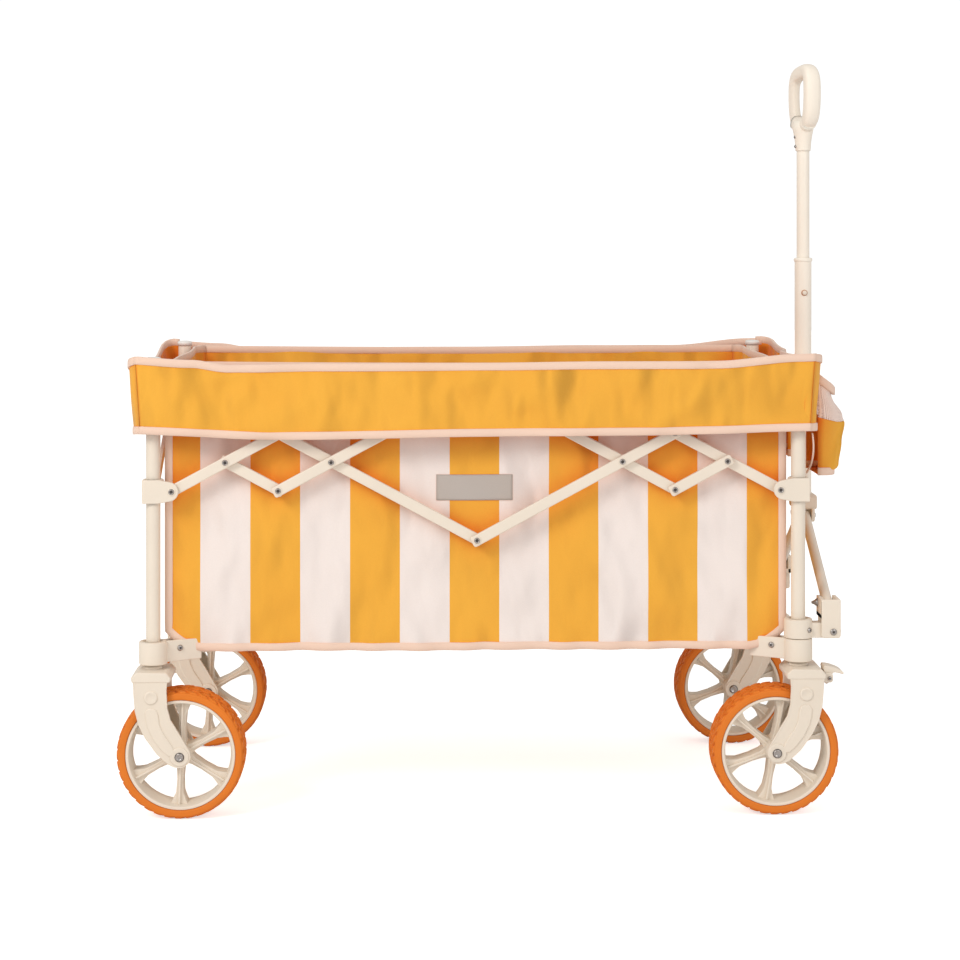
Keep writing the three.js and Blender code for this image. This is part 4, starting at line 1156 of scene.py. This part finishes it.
def squash(obj, axis, half):
    """Gives the panel its own copy of its mesh; nothing is gathered."""
    if axis == "x":
        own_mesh(obj)
    else:
        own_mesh(obj)


def tuck(obj):
    """Gives a pocket piece its own copy of its mesh; it is not moved."""
    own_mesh(obj)


def end_wall_dent(y, t, end, half):
    """How far an end wall dips inward. Its sides curve in to meet the long walls."""
    dent = ripple(y * 8, t * 6, 0.006, 21.0 + end) + 0.004
    edge = min(1.0, (half - abs(y)) / 0.05)
    corner = 0.016 * max(0.0, (abs(y) - half + 0.025) / 0.025) ** 2
    return dent * edge + corner + 0.001


def end_wall(end):
    """Rear or front wall of the tub, amber on both faces."""
    name = "rear" if end < 0 else "front"
    x0 = TUB_LOW.x if end < 0 else TUB_HIGH.x
    half = WALL_Y - 0.004

    def surface(s, t):
        y = -s if end < 0 else s
        z_top = TOP_Z - 0.002 * (1 - (y / half) ** 2)
        z = HEM_Z + 0.012 + (z_top - HEM_Z - 0.012) * (t - HEM_Z) / (TOP_Z - HEM_Z)
        return Vector((x0 - end * end_wall_dent(y, t, end, half), y, z))

    piece = sheet_mesh(f"cloth_wall_{name}", surface, (-half, half), (HEM_Z, TOP_Z), 64, 54, 0.0016, AMBER, AMBER)
    body = "rear_right" if end < 0 else "front_right"
    add(piece, body, "striped_cloth")
    path = [surface(-half + 2 * half * i / 48, TOP_Z) + Vector((0, 0, -0.003)) for i in range(49)]
    rim = add(tape(f"wall_rim_{name}", path), body, "striped_cloth")
    for obj in (piece, rim):
        squash(obj, "y", WALL_Y)
    return piece, [rim]


def floor_cloth():
    """Four quarters of the tub floor, each carried by one floor bar."""
    z = TUB_LOW.z + 0.0205
    made = []
    for c in CORNERS:
        at = POST[c]
        ex, sy = (-1 if at.x < CX else 1), (-1 if at.y < 0 else 1)
        bm = bmesh.new()
        layer = bm.loops.layers.uv.new("UVMap")
        nx, ny = 30, 16
        verts, under = [], []
        for j in range(ny + 1):
            row, low = [], []
            for i in range(nx + 1):
                y = sy * (WALL_Y - 0.006) * j / ny
                x = ex * (WALL_HALF - 0.001 - end_wall_dent(y, HEM_Z + 0.006, ex, WALL_Y - 0.004)) * i / nx
                y = sy * (WALL_Y - 0.001 - long_wall_dent(x, z, sy)) * j / ny
                sag = -0.0016 + ripple(x * 9, y * 9, 0.0022, 33.0) * min(1, i / 3, (nx - i) / 3) * min(1, j / 3, (ny - j) / 3)
                row.append(bm.verts.new((CX + x, y, z + sag)))
                low.append(bm.verts.new((CX + x, y, z + sag - 0.0014)))
            verts.append(row)
            under.append(low)
        for j in range(ny):
            for i in range(nx):
                ids = ((j, i), (j, i + 1), (j + 1, i + 1), (j + 1, i))
                for level, index in ((verts, 0), (under, 0)):
                    f = bm.faces.new([level[a][b] for a, b in ids])
                    f.material_index = index
                    for loop, (a, b) in zip(f.loops, ids):
                        loop[layer].uv = (b * WALL_HALF / nx, a * WALL_Y / ny)
        rim = [(0, i) for i in range(nx)] + [(j, nx) for j in range(ny)] + [(ny, nx - i) for i in range(nx)] + [
            (ny - j, 0) for j in range(ny)]
        for (a, b), (p, q) in zip(rim, rim[1:] + rim[:1]):
            bm.faces.new((verts[a][b], verts[p][q], under[p][q], under[a][b]))
        piece = finish_mesh(f"cloth_floor_{c}", bm, [AMBER])
        add(piece, f"floor_bar_{c}", "striped_cloth")
        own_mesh(piece)
        made.append(piece)
    return made


FLAP_TOP_NEAR = ((-0.486, 0.6385), (-0.396, 0.6335), (-0.343, 0.6262), (-0.22, 0.6275), (0.0, 0.6278), (0.209, 0.6300),
                 (0.33, 0.6300), (0.447, 0.6405), (0.486, 0.6415))
FLAP_HALF = 0.486
FLAP_FRONT = 0.4838
FLAP_FOOT_NEAR = ((-0.486, 0.5330), (-0.26, 0.5245), (0.0, 0.5285), (0.244, 0.5300), (0.486, 0.5350))


def flap_panel(side):
    """Long panel of the flap. It leaves the wall at its top in the middle and goes round the posts at its ends."""
    name = "near" if side < 0 else "far"
    half = FLAP_HIGH.y
    end_rear, end_front = 0.012 - FLAP_HALF, FLAP_FRONT - 0.012
    tall = 0.105

    def surface(s, t):
        k = t / tall
        x = (s if side < 0 else -s) * (1 - 0.0145 * (1 - k))
        top, foot = between(FLAP_TOP_NEAR, x), between(FLAP_FOOT_NEAR, x)
        top -= 0.003 if side > 0 else 0
        z = foot + (top - foot) * k
        middle_part = max(0.0, 1 - (abs(x) / 0.40) ** 4)
        pull = 0.0085 * middle_part * k ** 2
        fold = ripple(x * 7 + k * 0.9, k * 1.2, 0.009, 40.0 + side) + ripple(x * 13 - k * 1.6, k * 1.5, 0.007, 44.0 + side)
        fold *= min(1.0, (0.48 - abs(x)) / 0.05)
        crease = 0.0035 * math.exp(-((x + 0.33 - 0.10 * (1 - k)) / 0.02) ** 2) + 0.0035 * math.exp(
            -((x - 0.33 + 0.12 * (1 - k)) / 0.02) ** 2)
        y = half - 0.0045 - pull + 0.0038 * math.tanh(fold / 0.0038) - crease * k
        return Vector((CX + x, side * y, z))

    a, b = (end_rear, end_front) if side < 0 else (-end_front, -end_rear)
    piece = sheet_mesh(f"cloth_flap_{name}", surface, (a, b), (0, tall), 170, 24, 0.0016, AMBER, AMBER)
    body, nodes = ("rear_right", ("cloth_flap",)) if side < 0 else ("rear_left", ())
    add(piece, body, "flap_cloth", *nodes)
    steps = 150
    xs = [a + (b - a) * i / steps for i in range(steps + 1)]
    at = lambda x, t: surface(x, t) + Vector((0, -side * 0.0008, 0))
    top = tape(f"flap_rim_{name}", [at(x, tall - 0.0045) for x in xs],
               lambda k: at(a + (b - a) * k, tall) - at(a + (b - a) * k, tall - 0.008))
    foot = tape(f"flap_hem_{name}", [at(x, 0.0045) for x in xs],
                lambda k: at(a + (b - a) * k, 0.008) - at(a + (b - a) * k, 0))
    for trim in (top, foot):
        add(trim, body, "flap_cloth")
    for obj in (piece, top, foot):
        squash(obj, "x", FLAP_HALF)
    seams = [seam(f"flap_seam_{name}_{i + 1}", [surface(s, 0.009 + (tall - 0.018) * k / 12) for k in range(13)],
                  body, FLAP_HALF, (0, side, 0)) for i, s in enumerate((a + 0.0015, b - 0.0015))]
    return piece, [top, foot] + seams, (b - a, tall)


def flap_end(end):
    """Short panel of the flap, round both corners at its end. The front one passes behind the handle."""
    name = "rear" if end < 0 else "front"
    far = FLAP_HALF if end < 0 else FLAP_FRONT
    corner = 0.014
    half_y = FLAP_HIGH.y - 0.0045
    line = [(far - corner, -half_y + 0.0005), (far - corner * 0.55, -half_y + 0.004), (far - 0.003, -half_y + corner * 0.75)]
    flat = []
    for i in range(1, 40):
        y = -half_y + corner + 2 * (half_y - corner) * i / 40
        dip = 0.0
        if end > 0:
            dip = 0.0135 * (1 - min(1.0, max(0.0, (abs(y) - 0.040) / 0.034)))
        flat.append((far - dip - 0.002 * (1 - abs(y) / half_y), y))
    plan = [(x - 0.0005, y) for x, y in line] + flat + [(x - 0.0005, -y) for x, y in reversed(line)]
    plan = [(far - 0.024, 0.0024 - half_y)] + plan + [(far - 0.024, half_y - 0.0024)]
    points = [Vector((end * x, y * (1 if end > 0 else -1) , 0)) for x, y in plan]
    run = [0.0]
    for p, q in zip(points, points[1:]):
        run.append(run[-1] + (q - p).length)
    tall, total = 0.105, run[-1]

    def surface(s, t):
        s = min(max(s, 0.0), total)
        i = min(max(next((k for k, r in enumerate(run) if r >= s), len(run) - 1), 1), len(run) - 1)
        f = (s - run[i - 1]) / (run[i] - run[i - 1])
        p = points[i - 1].lerp(points[i], f)
        k = t / tall
        tilt = -end * 0.007 * (1 - k)
        sag = (0.022 if end < 0 else 0.012) * (1 - (p.y / half_y) ** 4)
        top = (0.6385 if end < 0 else 0.6410) - sag
        foot = (0.5330 if end < 0 else 0.5350) - 0.3 * sag
        sway = ripple(s * 7, k * 1.6, 0.003, 60.0 + end) * min(1, s / 0.06, (total - s) / 0.06)
        return Vector((CX + p.x + tilt + end * (sway - 0.0015), p.y, foot + (top - foot) * k))

    piece = sheet_mesh(f"cloth_flap_{name}", surface, (0.0008, total - 0.0008), (0, tall), 120, 22, 0.0016, AMBER, AMBER)
    body = "rear_right" if end < 0 else "front_right"
    add(piece, body, "flap_cloth")
    steps = 120
    ss = [0.001 + (total - 0.002) * i / steps for i in range(steps + 1)]
    top = tape(f"flap_rim_{name}", [surface(s, tall - 0.0045) for s in ss])
    foot = tape(f"flap_hem_{name}", [surface(s, 0.0045) for s in ss])
    for trim in (top, foot):
        add(trim, body, "flap_cloth")
    for obj in (piece, top, foot):
        squash(obj, "y", FLAP_HIGH.y)
    return piece, [top, foot], (total, tall)


POCKET_REACH = ((0.0, 0.0225), (0.010, 0.0350), (0.045, 0.0400), (0.076, 0.0440), (0.090, 0.0410), (0.130, 0.0240),
                (0.138, 0.0285))


def pockets():
    """Two cup pockets on the front flap: a net upper half on a cloth cup, with a peach rim."""
    low, high = box("cloth_flap")
    for name, side in SIDES.items():
        y0, y1 = 0.083, 0.182
        back = CX + FLAP_FRONT + 0.0005
        bottom, cup_top, rim_z = low.z + 0.001, 0.548, 0.604

        def plan(k, z):
            """Half-round pocket outline in plan at height z; k from 0 to 1 goes round it."""
            reach = between(POCKET_REACH, z - bottom)
            half_w = (y1 - y0) / 2
            a = math.pi * k
            squared = lambda v: math.copysign(abs(v) ** 0.55, v)
            return Vector((back + reach * squared(math.sin(a)), side * ((y0 + y1) / 2 - half_w * squared(math.cos(a))), z))

        girth = 0.142
        order = (lambda k: k) if side > 0 else (lambda k: 1 - k)

        def surface(s, t):
            k = min(max(s / girth, 0.0), 1.0)
            p = plan(order(k), bottom + t)
            out = min(1.0, (p.x - back) / 0.028)
            z = bottom + t - out * (0.022 * max(0.0, (t - 0.04) / 0.10) ** 1.3)
            wave = ripple(s * 30, t * 12, 0.0022, 70.0 + side) * math.sin(math.pi * k)
            return Vector((p.x - abs(wave), p.y, z))

        lower = sheet_mesh(f"pocket_cup_{name}", surface, (0, girth), (0, cup_top - bottom), 44, 22, 0.0014, AMBER, AMBER)
        upper = sheet_mesh(f"pocket_net_{name}", surface, (0, girth), (cup_top - bottom, rim_z - bottom), 44, 16, 0.001, NET, NET)
        base = pocket_base(name, side, surface, girth, bottom)
        rim = tape(f"pocket_rim_{name}", [surface(girth * i / 44, rim_z - bottom) for i in range(45)])
        seam = tape(f"pocket_seam_{name}", [surface(girth * i / 44, 0.004) for i in range(45)])
        for obj in (lower, upper, base, rim, seam):
            add(obj, f"front_{name}", "flap_cloth")
            tuck(obj)


def pocket_base(name, side, surface, girth, bottom):
    bm = bmesh.new()
    n = 40
    loop = [surface(girth * i / n, 0.001) for i in range(n + 1)]
    centre = sum(loop, Vector()) / len(loop)
    for z in (0, -0.0014):
        ring_verts = [bm.verts.new(p + Vector((0, 0, z))) for p in loop]
        hub = bm.verts.new(centre + Vector((0, 0, z - 0.003)))
        for a, b in zip(ring_verts, ring_verts[1:] + ring_verts[:1]):
            bm.faces.new((a, b, hub))
        if z == 0:
            first = ring_verts
    for i in range(len(first)):
        j = (i + 1) % len(first)
        bm.faces.new((first[i], first[j], ring_verts[j], ring_verts[i]))
    return finish_mesh(f"pocket_base_{name}", bm, [AMBER])


def seam(name, points, body, half, out):
    """Sewn seam, a narrow raised thread line through points, lifted off the cloth along out."""
    path = [p + Vector(out) * 0.0004 for p in points]
    line = sweep(name, path, [(-0.0005, -0.0005), (0.0005, -0.0005), (0.0004, 0.0003), (-0.0004, 0.0003)], SEAM,
                 up=out, uv=True)
    add(line, body, "flap_cloth")
    squash(line, "x", half)
    return line


def strap():
    """Thin strap from the flap's lower edge to the foot of the near pocket."""
    a = Vector((CX + 0.4680, -0.2320, 0.5300))
    b = Vector((CX + 0.4690, -0.1810, 0.4700))
    c = Vector((CX + 0.4740, -0.2300, 0.4950))
    path = [a * (1 - k) ** 2 + c * (2 * k * (1 - k)) + b * k * k for k in (i / 12 for i in range(13))]
    piece = sweep("pocket_strap", path, [(x * 0.5, y * 0.36) for x, y in BAND], PEACH, up=(0, 1, 0), uv=True)
    add(piece, "front_right", "flap_cloth")
    tuck(piece)


def patch():
    """Blank woven patch sewn on the near wall."""
    half_w, half_h, z0 = 0.0535, 0.0180, 0.4525

    def surface(s, t):
        x, z = s - 0.003, z0 + t
        return Vector((CX + x, -(WALL_Y - long_wall_dent(x, z, -1)) - 0.0009, z))

    piece = sheet_mesh("blank_patch", surface, (-half_w, half_w), (-half_h, half_h), 24, 10, 0.0008, PATCH, PATCH)
    add(piece, "rear_right", "striped_cloth")
    squash(piece, "x", WALL_HALF)
    return piece


def soft_goods():
    for side in (-1, 1):
        long_wall(side)
    sewn = patch()
    for end in (-1, 1):
        piece, trims = end_wall(end)
        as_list(trims)
    floor_cloth()
    for side in (-1, 1):
        piece, trims, flat = flap_panel(side)
        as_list(trims)
    for end in (-1, 1):
        piece, trims, flat = flap_end(end)
        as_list(trims)
    pockets()
    strap()


# ---------------------------------------------------------------- stage and light
def stage():
    bm = bmesh.new()
    bmesh.ops.create_grid(bm, x_segments=1, y_segments=1, size=14)
    floor = finish_mesh("studio_floor", bm, [], smooth=False)
    n = Nodes("studio_white")
    grain = n.add("ShaderNodeTexNoise", Scale=3.0)
    tone = n.mix(grain, (0.93, 0.93, 0.93), (0.95, 0.95, 0.95))
    n.tree.links.new(tone.outputs[2], n.shader.inputs["Base Color"])
    n.shader.inputs["Roughness"].default_value = 0.9
    n.shader.inputs["Specular IOR Level"].default_value = 0.1
    n.shader.inputs["Emission Color"].default_value = (1, 1, 1, 1)
    rays = n.add("ShaderNodeLightPath")
    seen = n.add("ShaderNodeMath", operation="MULTIPLY")
    n.tree.links.new(rays.outputs["Is Camera Ray"], seen.inputs[0])
    seen.inputs[1].default_value = 0.62
    n.wire(seen, 0, n.shader, "Emission Strength")
    floor.data.materials.append(n.material)


def area_light(name, place, target, size, power, colour):
    data = bpy.data.lights.new(name, "AREA")
    data.shape, data.size, data.energy, data.color = "SQUARE", size, power, colour
    obj = bpy.data.objects.new(name, data)
    bpy.context.scene.collection.objects.link(obj)
    obj.location = place
    obj.rotation_euler = (Vector(target) - Vector(place)).to_track_quat("-Z", "Y").to_euler()


def lights():
    world = bpy.data.worlds.new("studio")
    world.use_nodes = True
    tree = world.node_tree
    soft = tree.nodes["Background"]
    soft.inputs[0].default_value = (1, 0.985, 0.965, 1)
    soft.inputs[1].default_value = 0.6
    white = tree.nodes.new("ShaderNodeBackground")
    white.inputs[0].default_value = (1, 1, 1, 1)
    white.inputs[1].default_value = 1.05
    rays, either = tree.nodes.new("ShaderNodeLightPath"), tree.nodes.new("ShaderNodeMixShader")
    tree.links.new(rays.outputs["Is Camera Ray"], either.inputs[0])
    tree.links.new(soft.outputs[0], either.inputs[1])
    tree.links.new(white.outputs[0], either.inputs[2])
    tree.links.new(either.outputs[0], tree.nodes["World Output"].inputs[0])
    bpy.context.scene.world = world
    area_light("key", (-2.3, -2.6, 2.4), (0, 0, 0.4), 1.1, 55, (1.0, 0.97, 0.93))
    area_light("fill", (1.9, -2.6, 1.9), (0.35, 0, 0.6), 1.8, 20, (1.0, 0.98, 0.96))
    bpy.context.scene.view_settings.view_transform = "Standard"


posts()
corner_brackets()
scissor_brackets()
side_bars()
rear_bars()
floor_bars()
yokes()
frame_tubes()
top_bracket()
mast()
grip()
forks()
pedals()
rims()
tyres()
soft_goods()
stage()
lights()
